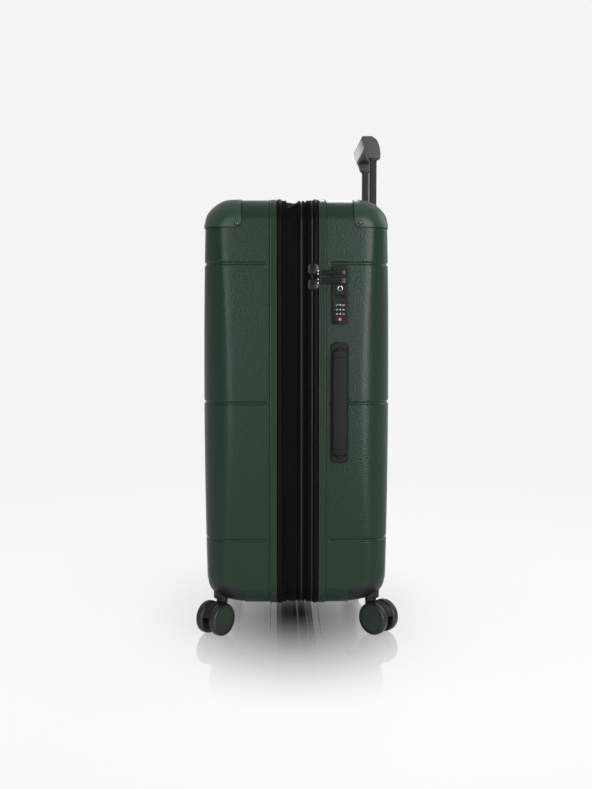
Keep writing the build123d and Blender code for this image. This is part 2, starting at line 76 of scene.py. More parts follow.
# the case's outer form, in millimetres, as the frame has it
caseForm = {"halfWidth": 260, "halfDepth": 164, "bottom": 50, "top": 762, "edge": 60, "crown": 12000,
            "soft": 8}
midZ = (caseForm["bottom"] + caseForm["top"]) / 2
halves = np.array([caseForm["halfWidth"], caseForm["halfDepth"], caseForm["top"] - midZ], float)
innerHalves = halves - caseForm["edge"]


# one principled finish with grain, mottling and a weave, each only if its settings ask for it
def makeMaterial(name, look):
    material = bpy.data.materials.new(name)
    material.use_nodes = True
    nodes, links = material.node_tree.nodes, material.node_tree.links
    shader = nodes["Principled BSDF"]
    shader.inputs["Roughness"].default_value = look.get("rough", 0.5)
    shader.inputs["Metallic"].default_value = look.get("metal", 0)
    shader.inputs["Specular IOR Level"].default_value = look.get("specular", 0.5)
    shader.inputs["Coat Weight"].default_value = look.get("coat", 0)
    shader.inputs["Coat Roughness"].default_value = look.get("coatRough", 0.1)
    shader.inputs["Sheen Weight"].default_value = look.get("sheen", 0)
    place = nodes.new("ShaderNodeTexCoord").outputs["Object"]

    mottle = nodes.new("ShaderNodeTexNoise")
    mottle.inputs["Scale"].default_value = look.get("mottleScale", 30)
    mottle.inputs["Detail"].default_value = 4
    links.new(place, mottle.inputs["Vector"])
    shades = nodes.new("ShaderNodeMix")
    shades.data_type = "RGBA"
    base = look["color"]
    spread = look.get("mottle", 0.08)
    shades.inputs["A"].default_value = (*[c * (1 - spread) for c in base], 1)
    shades.inputs["B"].default_value = (*[c * (1 + spread) for c in base], 1)
    links.new(mottle.outputs["Fac"], shades.inputs["Factor"])
    color = shades.outputs["Result"]

    height = None
    if look.get("grain"):
        grain = nodes.new("ShaderNodeTexNoise")
        grain.inputs["Scale"].default_value = 1000 / look["grain"]
        grain.inputs["Detail"].default_value = look.get("grainDetail", 2)
        links.new(place, grain.inputs["Vector"])
        height = grain.outputs["Fac"]
        if look.get("roughSpread"):
            gloss = nodes.new("ShaderNodeMapRange")
            gloss.inputs["To Min"].default_value = look["rough"] - look["roughSpread"]
            gloss.inputs["To Max"].default_value = look["rough"] + look["roughSpread"]
            links.new(mottle.outputs["Fac"], gloss.inputs["Value"])
            links.new(gloss.outputs["Result"], shader.inputs["Roughness"])
    if look.get("weave"):
        waves = []
        for axis in look.get("weaveAxes", ("X", "Y", "Z")):
            wave = nodes.new("ShaderNodeTexWave")
            wave.bands_direction = axis
            wave.inputs["Scale"].default_value = 1000 / look["weave"] / (2 * math.pi) * 2
            wave.inputs["Distortion"].default_value = 0.6
            wave.inputs["Detail Scale"].default_value = 2
            links.new(place, wave.inputs["Vector"])
            waves.append(wave.outputs["Fac"])
        height = waves[0]
        for other in waves[1:]:
            cross = nodes.new("ShaderNodeMath")
            cross.operation = "MULTIPLY" if look.get("meshCloth") else "ADD"
            links.new(height, cross.inputs[0])
            links.new(other, cross.inputs[1])
            height = cross.outputs["Value"]
        darker = nodes.new("ShaderNodeMix")
        darker.data_type = "RGBA"
        darker.blend_type = "MULTIPLY"
        darker.inputs["B"].default_value = (0.55, 0.55, 0.55, 1)
        half = nodes.new("ShaderNodeMapRange")
        half.inputs["From Max"].default_value = len(waves)
        links.new(height, half.inputs["Value"])
        links.new(half.outputs["Result"], darker.inputs["Factor"])
        links.new(color, darker.inputs["A"])
        color = darker.outputs["Result"]
    if height is not None:
        bump = nodes.new("ShaderNodeBump")
        bump.inputs["Strength"].default_value = look.get("bump", 0.3)
        bump.inputs["Distance"].default_value = look.get("bumpHeight", 0.15) * mm
        links.new(height, bump.inputs["Height"])
        links.new(bump.outputs["Normal"], shader.inputs["Normal"])
    links.new(color, shader.inputs["Base Color"])
    return material


looks = {
    "shell": {"color": (0.0068, 0.0190, 0.0102), "rough": 0.24, "roughSpread": 0.04, "grain": 2.7, "grainDetail": 3,
              "bump": 1.0, "bumpHeight": 0.42, "mottle": 0.07, "mottleScale": 220, "specular": 0.2},
    "rim": {"color": (0.0070, 0.0192, 0.0104), "rough": 0.24, "grain": 0.6, "bump": 0.06, "specular": 0.22},
    "guard": {"color": (0.0100, 0.0285, 0.0155), "rough": 0.36, "grain": 0.5, "bump": 0.08, "specular": 0.3},
    "screw": {"color": (0.05, 0.07, 0.055), "rough": 0.25, "metal": 0.7, "grain": 0.4, "bump": 0.1},
    "tape": {"color": (0.0013, 0.0013, 0.0014), "rough": 0.8, "weave": 1.1, "bump": 0.5, "bumpHeight": 0.1,
             "specular": 0.06, "mottle": 0.2},
    "piping": {"color": (0.0012, 0.0012, 0.0013), "rough": 0.5, "weave": 0.8, "bump": 0.25, "specular": 0.06},
    "gusset": {"color": (0.0010, 0.0010, 0.0011), "rough": 0.75, "weave": 0.7, "bump": 0.4, "bumpHeight": 0.08,
               "specular": 0.06, "mottle": 0.25, "mottleScale": 60},
    "teeth": {"color": (0.006, 0.006, 0.006), "rough": 0.35, "grain": 0.3, "bump": 0.1},
    "moulding": {"color": (0.0055, 0.0057, 0.0063), "rough": 0.46, "specular": 0.3, "grain": 0.5, "bump": 0.35,
                 "bumpHeight": 0.08, "mottle": 0.1, "mottleScale": 90},
    "tyre": {"color": (0.0055, 0.0057, 0.0062), "rough": 0.38, "specular": 0.35, "grain": 0.7, "bump": 0.25,
             "bumpHeight": 0.08},
    "cap": {"color": (0.0085, 0.0185, 0.0115), "rough": 0.5, "specular": 0.25, "grain": 0.6, "bump": 0.12},
    "tube": {"color": (0.008, 0.008, 0.0084), "rough": 0.26, "metal": 0.3, "specular": 0.25, "grain": 0.25,
             "bump": 0.08, "mottle": 0.15},
    "grip": {"color": (0.013, 0.013, 0.0135), "rough": 0.55, "grain": 0.35, "bump": 0.3, "bumpHeight": 0.06},
    "gloss": {"color": (0.012, 0.012, 0.0125), "rough": 0.08, "coat": 1, "coatRough": 0.05, "grain": 3, "bump": 0.01},
    "softTouch": {"color": (0.0072, 0.0072, 0.0075), "rough": 0.52, "grain": 0.3, "bump": 0.2, "bumpHeight": 0.05,
                  "sheen": 0.005, "specular": 0.11},
    "lock": {"color": (0.006, 0.0057, 0.0059), "rough": 0.42, "specular": 0.12, "grain": 0.35, "bump": 0.2,
             "bumpHeight": 0.05},
    "lockDark": {"color": (0.0022, 0.0022, 0.0024), "rough": 0.6, "specular": 0.2, "grain": 0.35, "bump": 0.15},
    "blackChrome": {"color": (0.016, 0.016, 0.017), "rough": 0.2, "metal": 0.8, "grain": 1.2, "bump": 0.05,
                    "mottle": 0.3},
    "chrome": {"color": (0.42, 0.42, 0.43), "rough": 0.24, "metal": 1, "grain": 0.8, "bump": 0.04},
    "ink": {"color": (0.75, 0.75, 0.74), "rough": 0.6, "grain": 0.3, "bump": 0.05},
    "redDot": {"color": (0.62, 0.06, 0.07), "rough": 0.4, "grain": 0.3, "bump": 0.05},
    "lining": {"color": (0.045, 0.047, 0.05), "rough": 0.8, "weave": 1.0, "bump": 0.35, "sheen": 0.2, "mottle": 0.15},
    "webbing": {"color": (0.012, 0.012, 0.013), "rough": 0.7, "weave": 2.2, "weaveAxes": ("Z",), "bump": 0.8,
                "bumpHeight": 0.25, "sheen": 0.1},
    "mesh": {"color": (0.02, 0.02, 0.021), "rough": 0.8, "weave": 2.6, "meshCloth": True, "bump": 1.0,
             "bumpHeight": 0.4, "weaveAxes": ("X", "Z")},
}
paint = {name: makeMaterial(name, look) for name, look in looks.items()}
print("materials made:", len(paint))


def addObject(name, data):
    thing = bpy.data.objects.new(name, data)
    studio.collection.objects.link(thing)
    return thing


# a welded mesh object from points in millimetres, with its faces turned outwards
def newPiece(name, points, faces, finish, angle=35, weld=0.004):
    mesh = bpy.data.meshes.new(name)
    mesh.from_pydata((np.asarray(points, float) * mm).tolist(), [], [list(map(int, f)) for f in faces])
    work = bmesh.new()
    work.from_mesh(mesh)
    if weld:
        bmesh.ops.remove_doubles(work, verts=work.verts, dist=weld * mm)
    bmesh.ops.dissolve_degenerate(work, edges=work.edges, dist=0.0005 * mm)
    bmesh.ops.recalc_face_normals(work, faces=work.faces)
    work.to_mesh(mesh)
    work.free()
    mesh.materials.append(paint[finish])
    mesh.shade_smooth()
    mesh.set_sharp_from_angle(angle=math.radians(angle))
    return addObject(name, mesh)


# turn what the modifiers make into the piece's own mesh
def bake(piece, angle=None):
    bpy.context.view_layer.update()
    graph = bpy.context.evaluated_depsgraph_get()
    ready = piece.evaluated_get(graph)
    mesh = bpy.data.meshes.new_from_object(ready, preserve_all_data_layers=True, depsgraph=graph)
    piece.modifiers.clear()
    piece.data = mesh
    if angle:
        mesh.shade_smooth()
        mesh.set_sharp_from_angle(angle=math.radians(angle))
    return piece


# several finished pieces as one object, keeping each one's material
def join(name, pieces):
    mesh = bpy.data.meshes.new(name)
    work = bmesh.new()
    slots = []
    for piece in pieces:
        start = len(work.faces)
        work.from_mesh(piece.data)
        work.faces.ensure_lookup_table()
        own = [m for m in piece.data.materials]
        for m in own:
            if m not in slots:
                slots.append(m)
        for face in work.faces[start:]:
            face.material_index = slots.index(own[min(face.material_index, len(own) - 1)])
    work.to_mesh(mesh)
    work.free()
    for m in slots:
        mesh.materials.append(m)
    mesh.shade_smooth()
    mesh.set_sharp_from_angle(angle=math.radians(35))
    whole = addObject(name, mesh)
    for piece in pieces:
        bpy.data.objects.remove(piece)
    return whole


# boolean a piece with another, bake it and drop the cutter
def cut(piece, cutter, how="DIFFERENCE", angle=35):
    tool = piece.modifiers.new("cut", "BOOLEAN")
    tool.object = cutter
    tool.operation = how
    tool.solver = "EXACT"
    bake(piece, angle)
    bpy.data.objects.remove(cutter)
    return piece


# a block between two corners in millimetres, with rounded edges along the named axes
def roundedBlock(name, low, high, bevel, finish, segments=4, axes="XYZ"):
    work = bmesh.new()
    bmesh.ops.create_cube(work, size=1)
    low, high = np.array(low, float), np.array(high, float)
    for v in work.verts:
        v.co = Vector((low + (np.array(v.co) + 0.5) * (high - low)) * mm)
    edges = [e for e in work.edges if "XYZ"[int(np.argmax(np.abs(np.array(e.verts[0].co - e.verts[1].co))))] in axes]
    if bevel:
        bmesh.ops.bevel(work, geom=edges, offset=bevel * mm, segments=segments, profile=0.5, affect="EDGES")
    mesh = bpy.data.meshes.new(name)
    bmesh.ops.recalc_face_normals(work, faces=work.faces)
    work.to_mesh(mesh)
    work.free()
    mesh.materials.append(paint[finish])
    mesh.shade_smooth()
    mesh.set_sharp_from_angle(angle=math.radians(35))
    return addObject(name, mesh)


def softenEdges(piece, width, segments=2, angle=40):
    tool = piece.modifiers.new("soften", "BEVEL")
    tool.width = width * mm
    tool.segments = segments
    tool.limit_method = "ANGLE"
    tool.angle_limit = math.radians(angle)
    return bake(piece, 35)


# fill any small opening that cutting has left in a closed piece
def closeHoles(piece):
    work = bmesh.new()
    work.from_mesh(piece.data)
    bmesh.ops.holes_fill(work, edges=[e for e in work.edges if e.is_boundary])
    work.to_mesh(piece.data)
    work.free()
    return piece


def placed(piece, matrix):
    piece.data.transform(matrix)
    if matrix.determinant() < 0:
        piece.data.flip_normals()
    return piece


def copied(piece, name, matrix=None):
    twin = piece.copy()
    twin.data = piece.data.copy()
    twin.name = name
    studio.collection.objects.link(twin)
    return placed(twin, matrix) if matrix else twin


# give a piece its body and hide the CAD nodes it stands for; slotName is not used
def finish(piece, body, slotName, *nodes):
    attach(piece, body)
    if nodes:
        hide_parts(*nodes)
    return piece


# limit a rounded box to slightly domed faces, with a soft turn where a dome meets the rounding
def domed(points, inset):
    out = np.array(points, float)
    squares = points ** 2
    for axis in range(3):
        drop = (squares.sum(axis=1) - squares[:, axis]) / (2 * caseForm["crown"])
        reach, limit = np.abs(points[:, axis]), halves[axis] - inset - drop
        turn = np.minimum(caseForm["soft"], drop) + 1e-6
        share = np.clip(0.5 + 0.5 * (reach - limit) / turn, 0, 1)
        reach = reach * (1 - share) + limit * share - turn * share * (1 - share)
        out[:, axis] = np.sign(points[:, axis]) * reach
    return out


# points of the case surface for swept box points, at an inset that may differ per point
def caseSurface(swept, inset=0):
    core = np.clip(swept, -innerHalves, innerHalves)
    out = swept - core
    length = np.linalg.norm(out, axis=1, keepdims=True)
    out = out / np.where(length > 0, length, 1)
    inset = np.broadcast_to(np.asarray(inset, float), (len(swept),)).reshape(-1, 1)
    points = domed(core + out * (caseForm["edge"] - inset), inset[:, 0])
    points[:, 2] += midZ
    return points


# grid lines along one axis of the swept box: even on the flat, by angle round the edges
def sweptLines(axis, step, dense=(), cornerSteps=14):
    inner, radius = innerHalves[axis], caseForm["edge"]
    flat = np.linspace(-inner, inner, max(2, int(round(2 * inner / step)) + 1))
    turn = np.tan(np.linspace(0, math.pi / 4, cornerSteps + 1)[1:]) * radius
    lines = np.concatenate([-(inner + turn[::-1]), flat, inner + turn])
    for low, high, fine in dense:
        lines = lines[(lines < low) | (lines > high)]
        lines = np.concatenate([lines, np.linspace(low, high, int(round((high - low) / fine)) + 1)])
    return np.unique(np.round(lines, 5))


def gridFaces(rows, columns, start):
    a = np.arange(rows - 1)[:, None] * columns + np.arange(columns - 1)[None, :] + start
    return np.stack([a, a + 1, a + columns + 1, a + columns], axis=-1).reshape(-1, 4)


# grids over the named sides of the swept box, such as "-Y", as points and faces
def sweptBox(lines, sides):
    points, faces, count = [], [], 0
    for side in sides:
        axis = "XYZ".index(side[1])
        a, b = [i for i in range(3) if i != axis]
        ga, gb = np.meshgrid(lines[a], lines[b], indexing="ij")
        grid = np.zeros((ga.size, 3))
        grid[:, a], grid[:, b] = ga.ravel(), gb.ravel()
        grid[:, axis] = halves[axis] * (1 if side[0] == "+" else -1)
        points.append(grid)
        faces.append(gridFaces(len(lines[a]), len(lines[b]), count))
        count += len(grid)
    return np.concatenate(points), np.concatenate(faces)


grooves = {"heights": (171, 410, 649), "halfWidth": 3.5, "depth": 2.1, "frontEnd": -53, "rearEnd": 56, "soft": 2.9}


# how far the case surface is pressed in at each point by the round-ended grooves
def grooveDepth(swept, frontHalf):
    depth = np.zeros(len(swept))
    y, wide = swept[:, 1], grooves["halfWidth"]
    past = np.maximum(0, y - (grooves["frontEnd"] - wide) if frontHalf else grooves["rearEnd"] + wide - y)
    for z in grooves["heights"]:
        away = np.hypot(swept[:, 2] - (z - midZ), past)
        edge = np.clip((wide + 0.3 - away) / grooves["soft"], 0, 1)
        depth = np.maximum(depth, edge * edge * (3 - 2 * edge) * grooves["depth"])
    return depth


# one half of the case as a walled tray, open towards the other half at openY
def caseShell(name, frontHalf, openY, thick, finishName):
    near = 5
    zDense = [(z - midZ - near, z - midZ + near, 0.55) for z in grooves["heights"]]
    endY = grooves["frontEnd"] if frontHalf else grooves["rearEnd"]
    lines = [sweptLines(0, 8), sweptLines(1, 6, [(endY - near - 1, endY + near + 1, 0.8)]), sweptLines(2, 8, zDense)]
    keep = lines[1] < openY - 0.5 if frontHalf else lines[1] > openY + 0.5
    lines[1] = np.sort(np.append(lines[1][keep], openY))
    swept, faces = sweptBox(lines, ["-X", "+X", "-Z", "+Z", "-Y" if frontHalf else "+Y"])
    press = grooveDepth(swept, frontHalf)
    outer, inner = caseSurface(swept, press), caseSurface(swept, press + thick)
    count = len(outer)
    rimFaces = []
    # the open edge is closed by a strip between the two skins
    onEdge = np.abs(swept[:, 1] - openY) < 1e-6
    for face in faces:
        for k in range(4):
            a, b = int(face[k]), int(face[(k + 1) % 4])
            if onEdge[a] and onEdge[b]:
                rimFaces.append((a, b, b + count, a + count))
    everything = [*faces.tolist(), *(faces[:, ::-1] + count).tolist(), *rimFaces]
    return newPiece(name, np.concatenate([outer, inner]), everything, finishName, angle=40)


# the case's outline seen from the front, as swept x and z pairs in order round it
def caseOutline(step, cornerSteps=12):
    x, z = sweptLines(0, step, cornerSteps=cornerSteps), sweptLines(2, step, cornerSteps=cornerSteps)
    hx, hz = halves[0], halves[2]
    right = [(hx, v) for v in z[:-1]]
    top = [(v, hz) for v in x[::-1][:-1]]
    left = [(-hx, v) for v in z[::-1][:-1]]
    under = [(v, -hz) for v in x[:-1]]
    return np.array(right + top + left + under)


# a closed band round the case. The profile is a closed loop of (y, inset) in millimetres
def bandRing(name, profile, finishName, step=9, ripple=None, angle=35):
    outline = caseOutline(step)
    rows, columns = len(outline), len(profile)
    points = np.zeros((rows * columns, 3))
    for column, (y, inset) in enumerate(profile):
        swept = np.column_stack([outline[:, 0], np.full(rows, float(y)), outline[:, 1]])
        extra = ripple(swept, y) if ripple else 0
        points[column::columns] = caseSurface(swept, inset + extra)
    faces = [
        (r * columns + c, r * columns + (c + 1) % columns,
         (r + 1) % rows * columns + (c + 1) % columns, (r + 1) % rows * columns + c)
        for r in range(rows) for c in range(columns)
    ]
    return newPiece(name, points, faces, finishName, angle=angle)


# a band's section from y0 to y1 whose two outer edges are rounded
def roundedProfile(y0, y1, outer, inner, radius, steps=4):
    arc = [math.pi / 2 * i / steps for i in range(steps + 1)]
    left = [(y0 + radius - radius * math.cos(a), outer + radius - radius * math.sin(a)) for a in arc]
    right = [(y1 - radius + radius * math.sin(a), outer + radius - radius * math.cos(a)) for a in arc]
    return [*left, *right, (y1, inner), (y0, inner)]


# evenly spaced points round the case at one y, for rows of teeth and stitches, ending where they start
def ringPath(y, inset, spacing):
    outline = caseOutline(6)
    swept = np.column_stack([outline[:, 0], np.full(len(outline), float(y)), outline[:, 1]])
    points = caseSurface(swept, inset)
    loop = np.vstack([points, points[:1]])
    along = np.concatenate([[0], np.cumsum(np.linalg.norm(np.diff(loop, axis=0), axis=1))])
    count = int(along[-1] / spacing)
    at = np.arange(count) * along[-1] / count
    ring = np.column_stack([np.interp(at, along, loop[:, k]) for k in range(3)])
    return np.vstack([ring, ring[:1]])


# small solids at an even pitch along the piece's own edges, turned to follow them
def rowTree():
    tree = bpy.data.node_groups.new("rowAlongPath", "GeometryNodeTree")
    for label, kind in (
        ("Path", "Geometry"), ("Pitch", "Float"), ("Size", "Vector"), ("Across", "Vector"),
        ("Rounded", "Bool"), ("Jitter", "Float"), ("Seed", "Int"), ("Finish", "Material"),
    ):
        tree.interface.new_socket(label, in_out="INPUT", socket_type="NodeSocket" + kind)
    tree.interface.new_socket("Row", in_out="OUTPUT", socket_type="NodeSocketGeometry")
    nodes, links = tree.nodes, tree.links
    given, out = nodes.new("NodeGroupInput"), nodes.new("NodeGroupOutput")
    curve = nodes.new("GeometryNodeMeshToCurve")
    even = nodes.new("GeometryNodeResampleCurve")
    even.mode = "LENGTH"
    tangent = nodes.new("GeometryNodeInputTangent")
    turn = nodes.new("FunctionNodeAxesToRotation")
    turn.primary_axis, turn.secondary_axis = "X", "Y"
    block = nodes.new("GeometryNodeMeshCube")
    ball = nodes.new("GeometryNodeMeshIcoSphere")
    ball.inputs["Radius"].default_value = 0.5
    stretched = nodes.new("GeometryNodeTransform")
    pick = nodes.new("GeometryNodeSwitch")
    pick.input_type = "GEOMETRY"
    spread = nodes.new("FunctionNodeRandomValue")
    spread.data_type = "FLOAT"
    low = nodes.new("ShaderNodeMath")
    low.operation = "SUBTRACT"
    low.inputs[0].default_value = 1
    place = nodes.new("GeometryNodeInstanceOnPoints")
    real = nodes.new("GeometryNodeRealizeInstances")
    coat = nodes.new("GeometryNodeSetMaterial")
    for a, b in (
        (given.outputs["Path"], curve.inputs["Mesh"]), (curve.outputs["Curve"], even.inputs["Curve"]),
        (given.outputs["Pitch"], even.inputs["Length"]), (even.outputs["Curve"], place.inputs["Points"]),
        (tangent.outputs["Tangent"], turn.inputs["Primary Axis"]),
        (given.outputs["Across"], turn.inputs["Secondary Axis"]),
        (turn.outputs["Rotation"], place.inputs["Rotation"]),
        (given.outputs["Size"], block.inputs["Size"]), (ball.outputs["Mesh"], stretched.inputs["Geometry"]),
        (given.outputs["Size"], stretched.inputs["Scale"]), (given.outputs["Rounded"], pick.inputs["Switch"]),
        (block.outputs["Mesh"], pick.inputs["False"]), (stretched.outputs["Geometry"], pick.inputs["True"]),
        (pick.outputs["Output"], place.inputs["Instance"]),
        (given.outputs["Jitter"], low.inputs[1]), (low.outputs["Value"], spread.inputs[2]),
        (given.outputs["Seed"], spread.inputs["Seed"]), (spread.outputs[1], place.inputs["Scale"]),
        (place.outputs["Instances"], real.inputs["Geometry"]), (real.outputs["Geometry"], coat.inputs["Geometry"]),
        (given.outputs["Finish"], coat.inputs["Material"]), (coat.outputs["Geometry"], out.inputs["Row"]),
    ):
        links.new(a, b)
    return tree


# the same head at every vertex of the piece, its top facing along the facing attribute
def screwTree():
    tree = bpy.data.node_groups.new("headAtSpots", "GeometryNodeTree")
    for label, kind in (("Spots", "Geometry"), ("Head", "Object"), ("Size", "Float"), ("Finish", "Material")):
        tree.interface.new_socket(label, in_out="INPUT", socket_type="NodeSocket" + kind)
    tree.interface.new_socket("Screws", in_out="OUTPUT", socket_type="NodeSocketGeometry")
    nodes, links = tree.nodes, tree.links
    given, out = nodes.new("NodeGroupInput"), nodes.new("NodeGroupOutput")
    head = nodes.new("GeometryNodeObjectInfo")
    facing = nodes.new("GeometryNodeInputNamedAttribute")
    facing.data_type = "FLOAT_VECTOR"
    facing.inputs["Name"].default_value = "facing"
    turn = nodes.new("FunctionNodeAlignRotationToVector")
    turn.axis = "Z"
    place = nodes.new("GeometryNodeInstanceOnPoints")
    real = nodes.new("GeometryNodeRealizeInstances")
    coat = nodes.new("GeometryNodeSetMaterial")
    for a, b in (
        (given.outputs["Spots"], place.inputs["Points"]), (given.outputs["Head"], head.inputs["Object"]),
        (head.outputs["Geometry"], place.inputs["Instance"]), (facing.outputs["Attribute"], turn.inputs["Vector"]),
        (turn.outputs["Rotation"], place.inputs["Rotation"]), (given.outputs["Size"], place.inputs["Scale"]),
        (place.outputs["Instances"], real.inputs["Geometry"]), (real.outputs["Geometry"], coat.inputs["Geometry"]),
        (given.outputs["Finish"], coat.inputs["Material"]), (coat.outputs["Geometry"], out.inputs["Screws"]),
    ):
        links.new(a, b)
    return tree


trees = {"row": rowTree(), "screws": screwTree()}


# run a node tree on a piece with its named inputs set, and bake the result
def grown(piece, treeName, values):
    tree = trees[treeName]
    maker = piece.modifiers.new(treeName, "NODES")
    maker.node_group = tree
    for item in tree.interface.items_tree:
        if item.in_out == "INPUT" and item.name in values:
            maker[item.identifier] = values[item.name]
    piece.update_tag()
    bake(piece)
    piece.data.polygons.foreach_set("material_index", [0] * len(piece.data.polygons))
    piece.data.materials.clear()
    piece.data.materials.append(values["Finish"])
    piece.data.shade_smooth()
    piece.data.set_sharp_from_angle(angle=math.radians(35))
    return piece


# teeth, stitches or ribs along paths of points in millimetres; a path that ends where it starts is closed
def rowOf(name, paths, settings, across=(0, 1, 0), seed=3):
    points, edges = [], []
    for path in paths:
        start = len(points)
        path = np.asarray(path, float)
        closed = np.linalg.norm(path[0] - path[-1]) < 1e-6
        if closed:
            path = path[:-1]
        points += (path * mm).tolist()
        edges += [(start + i, start + i + 1) for i in range(len(path) - 1)]
        if closed:
            edges.append((len(points) - 1, start))
    mesh = bpy.data.meshes.new(name)
    mesh.from_pydata(points, edges, [])
    piece = addObject(name, mesh)
    return grown(piece, "row", {
        "Pitch": settings["pitch"] * mm, "Size": [s * mm for s in settings["size"]], "Across": across,
        "Rounded": settings.get("rounded", False), "Jitter": settings.get("jitter", 0.0), "Seed": seed,
        "Finish": paint[settings["finish"]],
    })


print("making shells and bands")
corners = {"front_right": (1, -1), "front_left": (-1, -1), "rear_right": (1, 1), "rear_left": (-1, 1)}


# the matrix that turns a piece made for the right rear corner over to the named one
def toCorner(name):
    x, y = corners[name]
    return Matrix.Diagonal((x, y, 1, 1))


# the case's full form as one closed mesh
def wholeForm(name, inset, finishName, coarse=1.0):
    lines = [sweptLines(axis, 9 * coarse, cornerSteps=12) for axis in range(3)]
    swept, faces = sweptBox(lines, ["-X", "+X", "-Y", "+Y", "-Z", "+Z"])
    return newPiece(name, caseSurface(swept, inset), faces, finishName, angle=40)


beyond = {"x": 330, "y": 230, "top": 830, "bottom": -60}  # cutters reach this far past the case
casterCut = {"x": 172, "y": 91, "z": 87, "rounding": 6, "rise": 0.15}
bezel = {"half": 97.6, "front": 118.4, "floor": 708.4, "rim": 6, "pocketHalf": 95.4, "pocketFront": 120.4,
         "pocketFloor": 711, "proud": 1.6, "finish": "moulding"}


def cornerBlock(name, x, y, z, rounding, finishName, top=False):
    low = (x, y, z if top else beyond["bottom"])
    high = (beyond["x"], beyond["y"], beyond["top"] if top else z)
    block = roundedBlock(name, low, high, rounding, finishName, 5)
    if not top:
        tilt = Matrix.Identity(4)
        tilt[2][1], tilt[2][3] = casterCut["rise"], -casterCut["rise"] * casterCut["y"] * mm
        placed(block, tilt)
    return block


def cutCorners(piece, names, x, y, z, rounding):
    for name in names:
        cut(piece, placed(cornerBlock("cutter", x, y, z, rounding, "moulding"), toCorner(name)), angle=38)
    return piece


shellSettings = {"wall": 2.4, "frontEdge": -37, "rearEdge": 40.5, "finish": "shell"}
cutAt = [casterCut[k] for k in ("x", "y", "z", "rounding")]
frontShell = caseShell("frontShell", True, shellSettings["frontEdge"], shellSettings["wall"], shellSettings["finish"])
cutCorners(frontShell, ("front_right", "front_left"), *cutAt)
rearShell = caseShell("rearShell", False, shellSettings["rearEdge"], shellSettings["wall"], shellSettings["finish"])
cutCorners(rearShell, ("rear_right", "rear_left"), *cutAt)
cut(rearShell, roundedBlock("cutter", (-bezel["half"], bezel["front"], bezel["floor"]),
                            (bezel["half"], beyond["y"], beyond["top"]), 4, "moulding"), angle=38)
finish(frontShell, "front_case", "shell", "front_shell")
finish(rearShell, "rear_case", "shell", "rear_shell")

rimSettings = {"front": (-46.5, -34.5), "rear": (37.5, 50.0), "proud": 1.9, "bead": 1.15, "dip": 0.55, "back": 4.4,
               "gasket": 1.3, "gasketProud": 0.12}


# a rim's section: a round bead along each edge and a slightly lower middle
def beadedProfile(y0, y1):
    bead, top = rimSettings["bead"], -rimSettings["proud"]
    turn = np.linspace(0, math.pi, 9)
    left = [(y0 + bead - bead * math.cos(q), top + bead - bead * math.sin(q)) for q in turn]
    left = [(y, min(i, top + rimSettings["dip"]) if y > y0 + bead else i) for y, i in left]
    right = [(y0 + y1 - y, i) for y, i in left[::-1]]
    return [*left, *right, (y1, rimSettings["back"]), (y0, rimSettings["back"])]


for half in ("front", "rear"):
    y0, y1 = rimSettings[half]
    rim = bandRing(half + "Rim", beadedProfile(y0, y1), "rim")
    g0, g1 = (y0 - rimSettings["gasket"], y0 + 1) if half == "front" else (y1 - 1, y1 + rimSettings["gasket"])
    gasket = bandRing("gasket", roundedProfile(g0, g1, -rimSettings["gasketProud"], 1.2, 0.1, 1), "lockDark")
    rim = join(half + "Rim", [rim, gasket])
    finish(rim, half + "_case", "rim", half + "_rim")

bandSettings = {
    "frontPiping": (-34.5, -24.6), "frontTape": (-25.1, -17.6), "gusset": (-17.5, 2.0),
    "ridges": ((2.1, 6.4), (9.6, 13.7)), "lidBand": (16.5, 25.6), "rearTape": (26.2, 28.5),
    "rearPiping": (28.0, 37.5), "back": 4.2, "pipingProud": 2.0, "pipingRounding": 3.4,
}
tapeForms = {"front": (0.5, 0.8, 3), "rear": (0.2, 0.5, 3)}
for kind in ("piping", "tape"):
    for half in ("front", "rear"):
        pipingForm = (-bandSettings["pipingProud"], bandSettings["pipingRounding"], 6)
        inset, rounding, steps = pipingForm if kind == "piping" else tapeForms[half]
        y0, y1 = bandSettings[half + kind.capitalize()]
        profile = roundedProfile(y0, y1, inset, bandSettings["back"], rounding, steps)
        finish(bandRing(half + kind.capitalize(), profile, kind), half + "_case", "zip_tape", half + "_zip_tape")
(r0, r1), (r2, r3) = bandSettings["ridges"]
b0, b1 = bandSettings["lidBand"]
lidProfile = [(r0, bandSettings["back"])]
for y0, y1, top in ((r0, r1, 0.8), (r2, r3, 0.8), (b0, b1, 0.2)):
    lidProfile += [(y0 - 0.05, 3.0), *roundedProfile(y0, y1, top, 3.0, 1.2, 3)[:-2], (y1 + 0.05, 3.0)]
lidProfile = [p for p in lidProfile if r0 <= p[0] <= b1] + [(b1, bandSettings["back"])]
lidBand = bandRing("lidBand", lidProfile, "tape")

finish(lidBand, "lid_frame", "zip_tape", "lid_band")

# the gusset cloth sags at the top and folds slantwise near the top corners
gussetSettings = {"columns": 15, "inset": 3.2, "thick": 1.0, "wrinkle": 0.4, "sag": 1.9, "fold": 1.5, "hang": 2.6,
                  "foldAt": (238, 338, 24), "most": 3.4}


